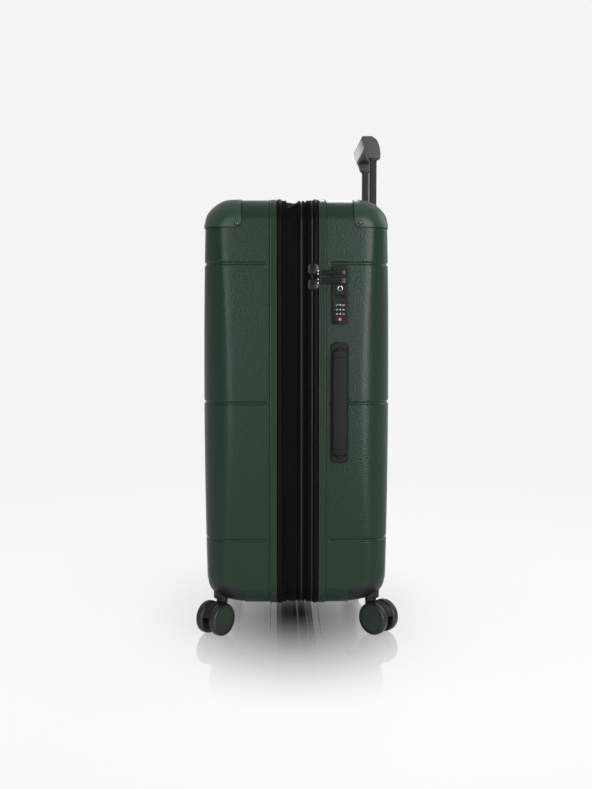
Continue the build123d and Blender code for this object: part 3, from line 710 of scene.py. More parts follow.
def gussetRipple(swept, y):
    y0, y1 = bandSettings["gusset"]
    across = np.clip((y - y0) / (y1 - y0), 0, 1)
    belly = math.sin(math.pi * across)
    x, z = swept[:, 0], swept[:, 2]
    up = np.clip((z - innerHalves[2] * 0.9) / 60, 0, 1)
    along = x * 0.55 + z * 0.48
    waves = (np.sin(along / 7.5 + 3.1 * across) + 0.7 * np.sin(along / 3.9 - 4.4 * across + 1.3)
             + 0.5 * np.sin((x - z) / 5.3 + 2.2 * across))
    foldX, foldZ, reach = gussetSettings["foldAt"]
    corner = np.exp(-((np.abs(x) - foldX) ** 2 + (z - foldZ) ** 2) / (2 * reach ** 2))
    slant = np.sin((np.abs(x) * 0.6 - z * 0.8) / 4.6 + 5.5 * across)
    ripple = belly * (gussetSettings["wrinkle"] * waves + gussetSettings["sag"] * up * (0.6 + 0.4 * np.sin(x / 31)))
    hang = np.clip((-z - innerHalves[2]) / 40, 0, 1) * belly * gussetSettings["hang"]
    return np.maximum(ripple + belly * gussetSettings["fold"] * corner * slant - hang, -gussetSettings["most"])


y0, y1 = bandSettings["gusset"]
acrossSteps = np.linspace(y0, y1, gussetSettings["columns"])
clothProfile = [(y, gussetSettings["inset"]) for y in acrossSteps]
clothProfile += [(y, gussetSettings["inset"] + gussetSettings["thick"]) for y in acrossSteps[::-1]]
gusset = bandRing("gussetCloth", clothProfile, "gusset", step=2.6, ripple=gussetRipple, angle=80)
finish(gusset, "lid_frame", "gusset_fabric", "gusset")

teethSettings = {"pitch": 2.3, "size": (1.25, 2.6, 1.0), "finish": "teeth"}
expansionTeeth = rowOf("expansionTeeth", [ringPath(8.0, 2.3, 2)], teethSettings)
finish(expansionTeeth, "lid_frame", "zip_tape")
mainTeeth = rowOf("mainTeeth", [ringPath(25.9, 0.1, 2)],
                  {**teethSettings, "size": (1.25, 2.2, 1.0)})
finish(mainTeeth, "rear_case", "zip_tape")
stitchSettings = {"pitch": 3.4, "size": (2.2, 0.5, 0.4), "rounded": True, "finish": "piping"}
frontStitches = rowOf("frontStitches", [ringPath(y, 0.35, 3) for y in (-23.2, -19.2)],
                      stitchSettings)
finish(frontStitches, "front_case", "zip_tape")
lidStitches = rowOf("lidStitches", [ringPath(y, i, 3) for y, i in ((11.6, 0.7), (18.2, 0.1),
                                                                                         (4.2, 0.7))], stitchSettings)
finish(lidStitches, "lid_frame", "zip_tape")

hinge = {"y": (17.5, 27.8), "z": (130, 690), "proud": 1.4, "step": 6, "columns": 13}
zs = np.linspace(hinge["z"][0], hinge["z"][1], int((hinge["z"][1] - hinge["z"][0]) / hinge["step"])) - midZ
ys = np.linspace(*hinge["y"], hinge["columns"])
gy, gz = np.meshgrid(ys, zs, indexing="ij")
strip = np.column_stack([np.full(gy.size, -halves[0]), gy.ravel(), gz.ravel()])
taper = np.minimum(1, np.minimum(gy.ravel() - ys[0], ys[-1] - gy.ravel()) / 1.2)
skin = caseSurface(strip, -0.1 - (hinge["proud"] - 0.1) * np.sqrt(np.clip(taper, 0, 1)))
hingeCloth = newPiece("hingeCloth", skin, gridFaces(len(ys), len(zs), 0), "gusset")
if hingeCloth.data.polygons[10].normal.x > 0:
    hingeCloth.data.flip_normals()
thick = hingeCloth.modifiers.new("thick", "SOLIDIFY")
thick.thickness, thick.offset = 0.35 * mm, -1
bake(hingeCloth, 60)


print("making guards and housings")
guardSettings = {"x": 190, "y": {"front": 95, "rear": 98}, "z": 711, "rounding": 10, "proud": 1.5, "edge": 0.6,
                 "seam": 1.9, "seamShadeProud": 0.14}
guards = {}
for half, y in guardSettings["y"].items():
    guard = wholeForm("guard", -guardSettings["proud"], "guard")
    cut(guard, cornerBlock("cutter", guardSettings["x"], y, guardSettings["z"], guardSettings["rounding"], "guard",
                           top=True), "INTERSECT")
    cut(guard, wholeForm("cutter", 0.15, "guard"))
    softenEdges(guard, guardSettings["edge"], 3, 50)
    # a near-black strip just proud of the shell and a little wider than the guard stands in for the shade of the
    # groove round it: painted shade
    wide = guardSettings["seam"]
    seam = wholeForm("seam", -guardSettings["seamShadeProud"], "lockDark")
    cut(seam, cornerBlock("cutter", guardSettings["x"] - wide, y - wide, guardSettings["z"] - wide,
                          guardSettings["rounding"] + wide, "lockDark", top=True), "INTERSECT")
    cut(seam, wholeForm("cutter", 0.3, "lockDark"))
    guards[half] = join("guard", [guard, seam])

housingSettings = {"inset": 0.8, "flange": 6, "roofZ": 56.5, "slope": 0.24, "collarRadius": 15,
                   "collarFoot": 61.5, "edge": 0.7}


# the space under the slanted roof of the wheel well
def wellCutter(out):
    x, y, z, s = casterCut["x"], casterCut["y"], housingSettings["roofZ"], housingSettings["slope"]
    y -= out
    x -= out
    far, low = beyond["y"], beyond["bottom"]
    points = [(px, py, pz) for px in (x, beyond["x"]) for py, pz in
              ((y, low), (y, z), (far, z + s * (far - casterCut["y"])), (far, low))]
    faces = [(0, 1, 2, 3), (7, 6, 5, 4), (0, 4, 5, 1), (1, 5, 6, 2), (2, 6, 7, 3), (3, 7, 4, 0)]
    return newPiece("cutter", points, faces, "moulding")


housing = wholeForm("housing", housingSettings["inset"], "moulding")
cut(housing, cornerBlock("cutter", *cutAt, "moulding"), "INTERSECT")
flange = wholeForm("flange", shellSettings["wall"] + 0.15, "moulding")
grow = housingSettings["flange"]
cut(flange, cornerBlock("cutter", casterCut["x"] - grow, casterCut["y"] - grow, casterCut["z"] + grow, 10,
                        "moulding"), "INTERSECT")
cut(housing, flange, "UNION")
cut(housing, wellCutter(0))
softenEdges(housing, housingSettings["edge"], 2, 50)


# a turned piece round the Z axis from (radius, height) pairs, closed where the radius is 0
def lathe(name, outline, finishName, segments=48, angle=35):
    turn = np.linspace(0, 2 * math.pi, segments, endpoint=False)
    points = np.array([(r * math.cos(t), r * math.sin(t), z) for r, z in outline for t in turn])
    rows = len(outline)
    faces = [(i * segments + k, i * segments + (k + 1) % segments,
              (i + 1) * segments + (k + 1) % segments, (i + 1) * segments + k)
             for i in range(rows - 1) for k in range(segments)]
    return newPiece(name, points, faces, finishName, angle)


caster = {"x": 218, "y": 132, "trail": 18, "wheelRadius": 28.5, "wheelWidth": 14.5, "gap": 16, "postRadius": 10,
          "postFoot": 55.2, "stemRadius": 5, "headings": {"front_right": -38, "front_left": -142, "rear_right": 47,
                                                          "rear_left": 133}}
foot, r = housingSettings["collarFoot"], housingSettings["collarRadius"]
collar = lathe("collar", [(6, foot + 0.4), (10.6, foot + 0.4), (11.2, foot), (r - 1, foot), (r - 0.3, foot + 0.3),
                          (r, foot + 1), (r, 74), (6, 74), (6, foot + 0.4)], "moulding")
placed(collar, Matrix.Translation((caster["x"] * mm, caster["y"] * mm, 0)))
wholeHousing = join("casterHousing", [housing, collar])

# crossed screw heads at each guard, each on a near-black disc that stands in for the shade of the recess round it:
# painted shade
screwSettings = {"radius": 3.6, "height": 1.5, "recessShadeRadius": 5.2, "recessShadeHeight": 0.14, "cross": 0.9, "crossDepth": 0.7}
r, h = screwSettings["radius"], screwSettings["height"]
screwHead = lathe("screwHead", [(0, -1), (r, -1), (r, h * 0.35), (r - 0.25, h * 0.6), (r * 0.72, h * 0.86),
                                (r * 0.35, h * 0.97), (0, h)], "screw", 20)
for turned in (0, 90):
    c = screwSettings["cross"] / 2
    slot = roundedBlock("cutter", (-r * 0.55, -c, h - screwSettings["crossDepth"]), (r * 0.55, c, h + 2), 0, "screw")
    cut(screwHead, placed(slot, Matrix.Rotation(math.radians(turned), 4, "Z")))
# near-black disc under each screw head: painted shade of its recess
screwSeat = lathe("screwSeat", [(0, -1), (screwSettings["recessShadeRadius"], -1),
                                (screwSettings["recessShadeRadius"], screwSettings["recessShadeHeight"]),
                                (0, screwSettings["recessShadeHeight"])], "lockDark", 24)
spots = {}
for half, (y, z) in {"front": (102.5, 717.5 - midZ), "rear": (108, 719.5 - midZ)}.items():
    x = guardSettings["x"] + 10
    spots[half] = ((halves[0], y, z), (x, halves[1], z), (x, y, halves[2]))
for name, (sx, sy) in corners.items():
    half, hand = name.split("_")
    piece = copied(guards[half], half + "Guard" + hand.title(), toCorner(name))
    finish(piece, half + "_case", "guard", f"{half}_guard_{hand}")
    piece = copied(wholeHousing, half + "Housing" + hand.title(), toCorner(name))
    finish(piece, half + "_case", "black_moulding", f"caster_housing_{half}_{hand}")
for half in ("front", "rear"):
    points, facing = [], []
    for name, (sx, sy) in corners.items():
        if name.startswith(half):
            for spot in spots[half]:
                swept = np.array([spot], float) * (sx, sy, 1)
                on, above = caseSurface(swept, -guardSettings["proud"] + 0.35), caseSurface(swept, -3)
                points.append(on[0] * mm)
                facing.append((above - on)[0])
    made = []
    for head, look in ((screwHead, "screw"), (screwSeat, "lockDark")):
        mesh = bpy.data.meshes.new(half + "Spots")
        mesh.from_pydata([list(map(float, p)) for p in points], [], [])
        mesh.attributes.new("facing", "FLOAT_VECTOR", "POINT").data.foreach_set("vector", np.ravel(facing))
        piece = addObject(half + "Spots", mesh)
        made.append(grown(piece, "screws", {"Head": head, "Size": 1.0, "Finish": paint[look]}))
    finish(join(half + "Screws", made), half + "_case", "screw", half + "_screws")
for helper in (*guards.values(), wholeHousing, screwHead, screwSeat):
    bpy.data.objects.remove(helper)
print("shell, bands, guards and housings ready")


print("making casters")
casterLook = {"tyreRound": 4.2, "capRadius": 22.9, "capDome": 0.75, "hubRadius": 9, "fenderRadius": 26.6,
              "fenderWall": 2.4, "fenderFrom": 12, "fenderTo": 168, "ribPitch": 1.9, "webHalf": 7.3}


def casterPlace(name):
    x, y = corners[name]
    spot = Vector((x * caster["x"] * mm, y * caster["y"] * mm, 0))
    return Matrix.Translation(spot) @ Matrix.Rotation(math.radians(caster["headings"][name]), 4, "Z")


# lay a piece turned round Z onto the axle, its low end towards the fork's middle on the right side
def onAxle(piece):
    lie = Matrix.Rotation(math.radians(90), 4, "X")
    return placed(piece, Matrix.Translation((caster["trail"] * mm, 0, caster["wheelRadius"] * mm)) @ lie)


r, inner, outer = caster["wheelRadius"], caster["gap"] / 2, caster["gap"] / 2 + caster["wheelWidth"]
k, cap = casterLook["tyreRound"], casterLook["capRadius"]
arc = [math.pi / 2 * i / 6 for i in range(7)]
tread = [(r - k + k * math.sin(a), inner + k - k * math.cos(a)) for a in arc]
tread += [(r - k + k * math.cos(a), outer - k + k * math.sin(a)) for a in arc]
tyreOutline = [(3.1, inner + 2.4), (casterLook["hubRadius"] - 2, inner + 2.4),
               (casterLook["hubRadius"] - 1.6, inner + 0.3),
               (casterLook["hubRadius"] + 1, inner + 0.3), (casterLook["hubRadius"] + 1.4, inner + 3.2),
               (19.4, inner + 3.6), (20.2, inner + 0.5), *tread, (cap + 0.5, outer), (cap + 0.4, outer - 1.3),
               (3.1, outer - 1.3), (3.1, inner + 2.4)]
tyre = onAxle(lathe("tyre", tyreOutline, "tyre", 96))
dome = [(cap * math.cos(a), outer - 0.9 + casterLook["capDome"] * math.sin(a)) for a in arc[:-1]]
capOutline = [(0, outer - 1.25), (cap, outer - 1.25), (cap, outer - 0.9), *dome[1:],
              (0, outer - 0.9 + casterLook["capDome"])]
cover = onAxle(lathe("wheelCap", capOutline, "cap", 96))

t, z0 = caster["trail"], caster["wheelRadius"]
fr, fw = casterLook["fenderRadius"], casterLook["fenderWall"]
around = np.radians(np.linspace(casterLook["fenderFrom"], casterLook["fenderTo"], 40))
loop = [(t + fr * math.cos(a), z0 + fr * math.sin(a)) for a in around]
loop += [(t + (fr - fw) * math.cos(a), z0 + (fr - fw) * math.sin(a)) for a in around[::-1]]


# a flat outline in x and z, as thick as twice half along y, with softened edges
def plate(name, loop, half, finishName, middle=0.0, rounding=0.6):
    count = len(loop)
    points = [(x, middle + side * half, z) for side in (-1, 1) for x, z in loop]
    faces = [tuple(range(count)), tuple(range(2 * count - 1, count - 1, -1))]
    faces += [(i, i + count, (i + 1) % count + count, (i + 1) % count) for i in range(count)]
    piece = newPiece(name, points, faces, finishName)
    return softenEdges(piece, rounding, 2, 40) if rounding else piece


fender = plate("fender", loop, casterLook["webHalf"], "moulding")
web = plate("web", [(-9, 57), (9, 57), (t + 5, z0 + 24), (t + 8, z0 + 6), (t + 6, z0 - 6), (t - 5, z0 - 7),
                    (t - 10, z0 + 2), (-3, 41), (-9, 47)], 4.2, "moulding", rounding=1.2)
hubHalf = casterLook["webHalf"] - 0.2
hub = onAxle(lathe("hub", [(0, -hubHalf), (7.4, -hubHalf), (8, -6.6), (8, 6.6), (7.4, hubHalf), (0, hubHalf)],
                   "moulding", 40))
axle = onAxle(lathe("axle", [(0, -outer + 1.6), (3, -outer + 1.6), (3, outer - 1.6), (0, outer - 1.6)], "chrome", 24))
foot, pr = caster["postFoot"], caster["postRadius"]
post = lathe("post", [(0, 46), (pr - 1.5, 46), (pr - 0.6, 48), (pr - 0.6, foot - 1), (pr, foot), (pr, 59.6),
                      (pr - 0.8, 61), (caster["stemRadius"], 61), (caster["stemRadius"], 90), (0, 90)], "moulding",
             48)
ribArc = [(t + (fr + 0.05) * math.cos(a), 0, z0 + (fr + 0.05) * math.sin(a)) for a in around[1:-1]]
ribs = rowOf("fenderRibs", [ribArc], {"pitch": casterLook["ribPitch"], "size": (0.95, 13.2, 1.1),
                                      "finish": "moulding"})
fork = join("fork", [fender, web, hub, axle, post, ribs])
wheelSides = {"a": Matrix.Identity(4), "b": Matrix.Diagonal((1, -1, 1, 1))}
for name in corners:
    half, hand = name.split("_")
    place = casterPlace(name)
    short = half + hand.title()
    finish(copied(fork, short + "Fork", place), "caster_" + name, "black_moulding", "caster_fork_" + name)
    for letter, side in wheelSides.items():
        body = f"wheel_{name}_{letter}"
        finish(copied(tyre, short + "Tyre" + letter.upper(), place @ side), body, "tyre", body)
        finish(copied(cover, short + "Cap" + letter.upper(), place @ side), body, "guard")
for helper in (fork, tyre, cover):
    bpy.data.objects.remove(helper)


print("making the trolley")
b = bezel
rimSkin = wholeForm("bezelRim", -b["proud"], b["finish"])
cut(rimSkin, roundedBlock("cutter", (-b["half"] - b["rim"], b["front"] - b["rim"], b["floor"] - b["rim"]),
                          (b["half"] + b["rim"], beyond["y"], beyond["top"]), 8, b["finish"], 5), "INTERSECT")
cut(rimSkin, wholeForm("cutter", 0.1, b["finish"]))
cup = wholeForm("cup", 0.05, b["finish"])
cut(cup, roundedBlock("cutter", (-b["half"], b["front"], b["floor"]), (b["half"], beyond["y"], beyond["top"]), 4,
                      b["finish"], 4),
    "INTERSECT")
cut(rimSkin, cup, "UNION")
cut(rimSkin, roundedBlock("cutter", (-b["pocketHalf"], b["pocketFront"], b["pocketFloor"]),
                          (b["pocketHalf"], beyond["y"], beyond["top"]), 3.4, b["finish"], 4))
tube = {"x": 80, "y": 145, "inner": (20, 13), "middle": (22.6, 15.6), "low": 262, "high": 860.5, "corner": 3.4,
        "flute": 0.55, "fluteWidth": 2.1}
for side in (-1, 1):
    hx, hy = tube["middle"][0] / 2 + 0.4, tube["middle"][1] / 2 + 0.4
    cut(rimSkin, roundedBlock("cutter", (side * tube["x"] - hx, tube["y"] - hy, 690),
                              (side * tube["x"] + hx, tube["y"] + hy, 730), 4, b["finish"], 4, "Z"))
softenEdges(rimSkin, 0.5, 2, 50)
rimSkin.name = "trolleyBezel"
finish(rimSkin, "rear_case", "black_moulding", "trolley_bezel")


# a rounded rectangle with shallow lengthwise grooves; flutes gives their places on the x and y sides
def flutedSection(width, depth, corner, flutes):
    loop = []
    for turn in range(4):
        a, c = (width / 2, depth / 2) if turn % 2 == 0 else (depth / 2, width / 2)
        spots = flutes[0] if turn % 2 == 0 else flutes[1]
        side = [(a, -c + corner)]
        for spot in spots:
            w = tube["fluteWidth"] / 2
            side += [(a, spot - w), (a - tube["flute"] * 0.8, spot - w * 0.55), (a - tube["flute"], spot),
                     (a - tube["flute"] * 0.8, spot + w * 0.55), (a, spot + w)]
        side += [(a - corner + corner * math.cos(q), c - corner + corner * math.sin(q))
                 for q in np.linspace(0, math.pi / 2, 6)[:-1]]
        ca, sa = round(math.cos(turn * math.pi / 2)), round(math.sin(turn * math.pi / 2))
        loop += [(x * ca - y * sa, x * sa + y * ca) for x, y in side]
    return loop


# a straight closed column of one section between two heights
def column(name, section, x, y, low, high, finishName):
    count = len(section)
    points = [(x + px, y + py, z) for z in (low, high) for px, py in section]
    faces = [tuple(range(count))[::-1], tuple(range(count, 2 * count))]
    faces += [(i, (i + 1) % count, (i + 1) % count + count, i + count) for i in range(count)]
    return newPiece(name, points, faces, finishName, 28)


section = flutedSection(*tube["inner"], tube["corner"], ((-2.1, 2.1), (-5, 0, 5)))
tubes = [column("tube", section, side * tube["x"], tube["y"], tube["low"], tube["high"], "tube") for side in (-1, 1)]
finish(join("innerTubes", tubes), "trolley_top", "tube", "trolley_inner_tubes")

grip = {"half": 93, "top": 891.5, "foot": 851.5, "barFoot": 867, "legInner": 68, "panelHalf": 89, "panelThick": 1.2,
        "front": [(123, 886.5), (126.4, 875), (132.2, 862), (135.2, 851.5)],
        "back": [(142, 891.5), (151, 884.5), (155.5, 874.5), (157.8, 862.5), (157.8, 851.5)],
        "button": {"half": 18, "y": (128, 139), "top": 891.9}}


# points along a smooth curve through the given ones
def smoothLine(points, count):
    points = np.array(points, float)
    ends = np.vstack([2 * points[0] - points[1], points, 2 * points[-1] - points[-2]])
    out = []
    for i in range(1, len(ends) - 2):
        p0, p1, p2, p3 = ends[i - 1:i + 3]
        for u in np.linspace(0, 1, count, endpoint=False):
            out.append(0.5 * (2 * p1 + (p2 - p0) * u + (2 * p0 - 5 * p1 + 4 * p2 - p3) * u ** 2
                              + (3 * p1 - p0 - 3 * p2 + p3) * u ** 3))
    return np.array([*out, points[-1]])


# a closed outline in y and z, extended along the width
def across(name, loop, x0, x1, finishName):
    count = len(loop)
    points = [(x, y, z) for x in (x0, x1) for y, z in loop]
    faces = [tuple(range(count)), tuple(range(2 * count - 1, count - 1, -1))]
    faces += [(i, i + count, (i + 1) % count + count, (i + 1) % count) for i in range(count)]
    return newPiece(name, points, faces, finishName, 30)


frontLine, backLine = smoothLine(grip["front"], 6), smoothLine(grip["back"], 5)
topFront = [(123.1, 888.6), (123.5, 890.3), (124.6, 891.3), (126, grip["top"])]
outline = [*frontLine[::-1], *topFront, *backLine]
gripBody = across("gripBody", outline, -grip["half"], grip["half"], "grip")
cut(gripBody, roundedBlock("cutter", (-grip["legInner"], 100, 800), (grip["legInner"], 180, grip["barFoot"]), 5,
                           "grip", 5))
softenEdges(gripBody, 1.1, 3, 50)
panelLine = [p for p in frontLine if p[1] >= grip["barFoot"] + 1.5]
panelLoop = [(y - 0.25, z) for y, z in panelLine] + [(y + grip["panelThick"], z + 0.3) for y, z in panelLine[::-1]]
panel = across("gripPanel", panelLoop, -grip["panelHalf"], grip["panelHalf"], "gloss")
groove = across("cutter", [(y - 2, z + (0.4 if i < len(panelLine) else 0)) for i, (y, z) in enumerate(panelLine)]
                + [(y + grip["panelThick"] + 0.3, z) for y, z in panelLine[::-1]],
                -grip["panelHalf"] - 0.4, grip["panelHalf"] + 0.4, "lockDark")
cut(gripBody, groove)
softenEdges(panel, 0.35, 2, 50)
press = grip["button"]
cut(gripBody, roundedBlock("cutter", (-press["half"] - 0.5, press["y"][0] - 0.5, grip["top"] - 10),
                           (press["half"] + 0.5, press["y"][1] + 0.5, grip["top"] + 9), 4.2, "lockDark", 4, "Z"))
legCollars = []
for side in (-1, 1):
    section = flutedSection(tube["inner"][0] + 2.6, tube["inner"][1] + 2.6, 4.4, ((), ()))
    collarPiece = column("legCollar", section, side * tube["x"], tube["y"] + 0.2, grip["foot"] - 3.4,
                         grip["foot"] + 0.8, "moulding")
    legCollars.append(softenEdges(collarPiece, 0.5, 2, 50))
finish(join("gripHandle", [gripBody, *legCollars]), "trolley_top", "grip_plastic", "grip_body")
finish(panel, "trolley_top", "gloss_panel", "grip_panel")
button = roundedBlock("releaseButton", (-press["half"], press["y"][0], grip["top"] - 4),
                      (press["half"], press["y"][1], press["top"]), 4, "softTouch", 5, "Z")
softenEdges(button, 0.7, 3, 50)
buttonRibs = rowOf("releaseRibs", [[(-14, (press["y"][0] + press["y"][1]) / 2, press["top"] - 0.25),
                                    (14, (press["y"][0] + press["y"][1]) / 2, press["top"] - 0.25)]],
                   {"pitch": 2.8, "size": (1.1, 6.4, 0.5), "finish": "softTouch"})
finish(join("releasePress", [button, buttonRibs]), "release_button", "button", "release_button")
for node, look in (("trolley_middle_tubes", "tube"), ("trolley_outer_tubes", "tube"), ("trolley_foot", "moulding")):
    held = frame["nodes"][node].data
    held.materials.clear()
    held.materials.append(paint[look])


print("making the lock")
lock = {"y": (60, 86), "z": (546, 644.5), "face": 266.8, "rounding": 2.5, "lip": 1.3, "lipDrop": 0.35,
        "tabs": {"upper": (629.4, 637.2), "lower": (614.2, 624.4)}, "channelFloor": 262.4, "tabTip": 83,
        "openSpot": (73, 554),
        "pocket": ((64.2, 81), (589.8, 613.7)), "pocketFloor": 261.4, "button": ((64.6, 80.6), (594.8, 613.2)),
        "key": (73.1, 606.3), "keyRadius": 3.75, "dialAxis": (260.2, 73.4), "dialRadius": 7.5, "dialWidth": 5.6,
        "dials": (578, 570.4, 562.8), "numberSize": 4.3, "inner": ((250.2, 259), (63, 83.4), (550, 640.5))}
(ly0, ly1), (lz0, lz1), face = lock["y"], lock["z"], lock["face"]


# a printed spot's place on the face of the lock
def faceSpot(y, z):
    return Matrix.Translation(((face - 0.45) * mm, y * mm, z * mm)) @ Matrix.Rotation(math.radians(90), 4, "Y")


body = roundedBlock("lockBody", (252, ly0, lz0), (face, ly1, lz1), lock["rounding"], "lock", 5, "X")
softenEdges(body, 1.0, 3, 50)
inside = wholeForm("cutter", 0.4, "lock", coarse=2)
cut(body, inside)
lip = lock["lip"]
cut(body, roundedBlock("cutter", (face - lock["lipDrop"], ly0 + lip, lz0 + lip), (face + 9, ly1 - lip, lz1 - lip),
                       1.6, "lockDark", 4, "X"))
cut(body, roundedBlock("inner", *zip(*lock["inner"]), 1.5, "lock", 2), "UNION")
for z0, z1 in lock["tabs"].values():
    cut(body, roundedBlock("cutter", (lock["channelFloor"], ly0 - 5, z0 - 0.6), (280, lock["tabTip"] + 0.8, z1 + 0.6),
                           1.0, "lockDark", 3, "X"))
(py0, py1), (pz0, pz1) = lock["pocket"]
cut(body, roundedBlock("cutter", (lock["pocketFloor"], py0, pz0), (280, py1, pz1), 1.6, "lockDark", 4, "X"))
ax, ay = lock["dialAxis"]
for z in lock["dials"]:
    window = lathe("cutter", [(0, z - lock["dialWidth"] / 2 - 0.35),
                              (lock["dialRadius"] + 0.45, z - lock["dialWidth"] / 2 - 0.35),
                              (lock["dialRadius"] + 0.45, z + lock["dialWidth"] / 2 + 0.35),
                              (0, z + lock["dialWidth"] / 2 + 0.35)], "lockDark", 48)
    cut(body, placed(window, Matrix.Translation((ax * mm, ay * mm, 0))))
closeHoles(body)
marks = []
for z in lock["dials"]:
    marks.append(roundedBlock("mark", (face - 0.5, ly0 + 6.0, z - 0.35), (face - 0.28, ly0 + 7.4, z + 0.35), 0.1,
                              "ink", 2))
    spot = lathe("mark", [(0, 0), (0.75, 0), (0.6, 0.2), (0, 0.2)], "ink", 20)
    placed(spot, faceSpot(ly1 - 6.2, z))
    marks.append(spot)
redMark = lathe("openMark", [(0, 0), (2.4, 0), (2.15, 0.25), (0, 0.28)], "redDot", 28)
placed(redMark, faceSpot(*lock["openSpot"]))
finish(body, "rear_case", "lock_plastic", "lock_body", "lock_dial_axle")
finish(join("lockMarks", [*marks, redMark]), "rear_case", "lock_plastic")


# a flat number as a mesh lying in x and y, centred, in metres
def numberMesh(text, size, thick):
    curve = bpy.data.curves.new("number", "FONT")
    curve.body, curve.size, curve.extrude = text, size * mm, thick * mm
    curve.align_x, curve.align_y = "CENTER", "CENTER"
    curve.resolution_u = 3
    holder = addObject("number", curve)
    bpy.context.view_layer.update()
    graph = bpy.context.evaluated_depsgraph_get()
    mesh = bpy.data.meshes.new_from_object(holder.evaluated_get(graph), preserve_all_data_layers=True,
                                           depsgraph=graph)
    bpy.data.objects.remove(holder)
    work = bmesh.new()
    work.from_mesh(mesh)
    bmesh.ops.remove_doubles(work, verts=work.verts, dist=0.00001 * mm)
    work.to_mesh(mesh)
    work.free()
    mesh.materials.clear()
    mesh.materials.append(paint["ink"])
    return addObject("number", mesh)


r, w = lock["dialRadius"], lock["dialWidth"] / 2
wheelLoop = []
for k in range(10):
    for step in np.linspace(-18, 18, 9)[:-1]:
        notch = 0.55 * math.exp(-((abs(step) - 18) / 3.2) ** 2)
        wheelLoop.append(((r - notch) * math.cos(math.radians(36 * k + step)),
                          (r - notch) * math.sin(math.radians(36 * k + step))))
for number, z in enumerate(lock["dials"], 1):
    dial = column("dial", wheelLoop, 0, 0, z - w, z + w, "lockDark")
    softenEdges(dial, 0.35, 2, 60)
    cut(dial, lathe("cutter", [(0, z - 9), (1.6, z - 9), (1.6, z + 9), (0, z + 9)], "lockDark", 20))
    parts = [dial]
    for digit in range(10):
        sign = numberMesh(str(digit), lock["numberSize"], 0.12)
        stand = Matrix.Rotation(math.radians(90), 4, "Z") @ Matrix.Rotation(math.radians(90), 4, "X")
        out = Matrix.Translation(((r + 0.02) * mm, 0, z * mm)) @ stand
        parts.append(placed(sign, Matrix.Rotation(math.radians(36 * digit), 4, "Z") @ out))
    whole = join(f"dialWheel{number}", parts)
    placed(whole, Matrix.Translation((ax * mm, ay * mm, 0)))
    finish(whole, f"dial_{number}", "lock_plastic", f"dial_{number}")

(by0, by1), (bz0, bz1) = lock["button"]
lockButton = roundedBlock("lockPress", (261.8, by0, bz0), (267.4, by1, bz1), 2, "softTouch", 4, "X")
softenEdges(lockButton, 0.7, 3, 50)
ky, kz = lock["key"]
faceOut = Matrix.Translation((0, ky * mm, kz * mm)) @ Matrix.Rotation(math.radians(90), 4, "Y")
kr = lock["keyRadius"]
cut(lockButton, placed(lathe("cutter", [(0, 262.3), (kr + 0.75, 262.3), (kr + 0.75, 280), (0, 280)], "lockDark", 40),
                       faceOut))
finish(lockButton, "lock_button", "button", "lock_button")
ring = lathe("keyRing", [(kr - 0.85, 266.6), (kr - 0.7, 267.25), (kr - 0.2, 267.5), (kr + 0.35, 267.35),
                         (kr + 0.68, 266.9),
                         (kr + 0.68, 262.6), (kr - 0.85, 262.6), (kr - 0.85, 266.6)], "chrome", 40)
core = lathe("keyCore", [(0, 262.6), (kr - 0.95, 262.6), (kr - 0.95, 266.7), (kr - 1.2, 266.95), (0, 266.95)],
             "blackChrome", 32)
for piece in (ring, core):
    placed(piece, faceOut)
cut(core, roundedBlock("cutter", (264, ky - 0.5, kz - 2.1), (270, ky + 0.5, kz + 2.1), 0.2, "lockDark", 2))
finish(join("keyBarrel", [ring, core]), "key_cylinder", "key_metal", "key_cylinder")

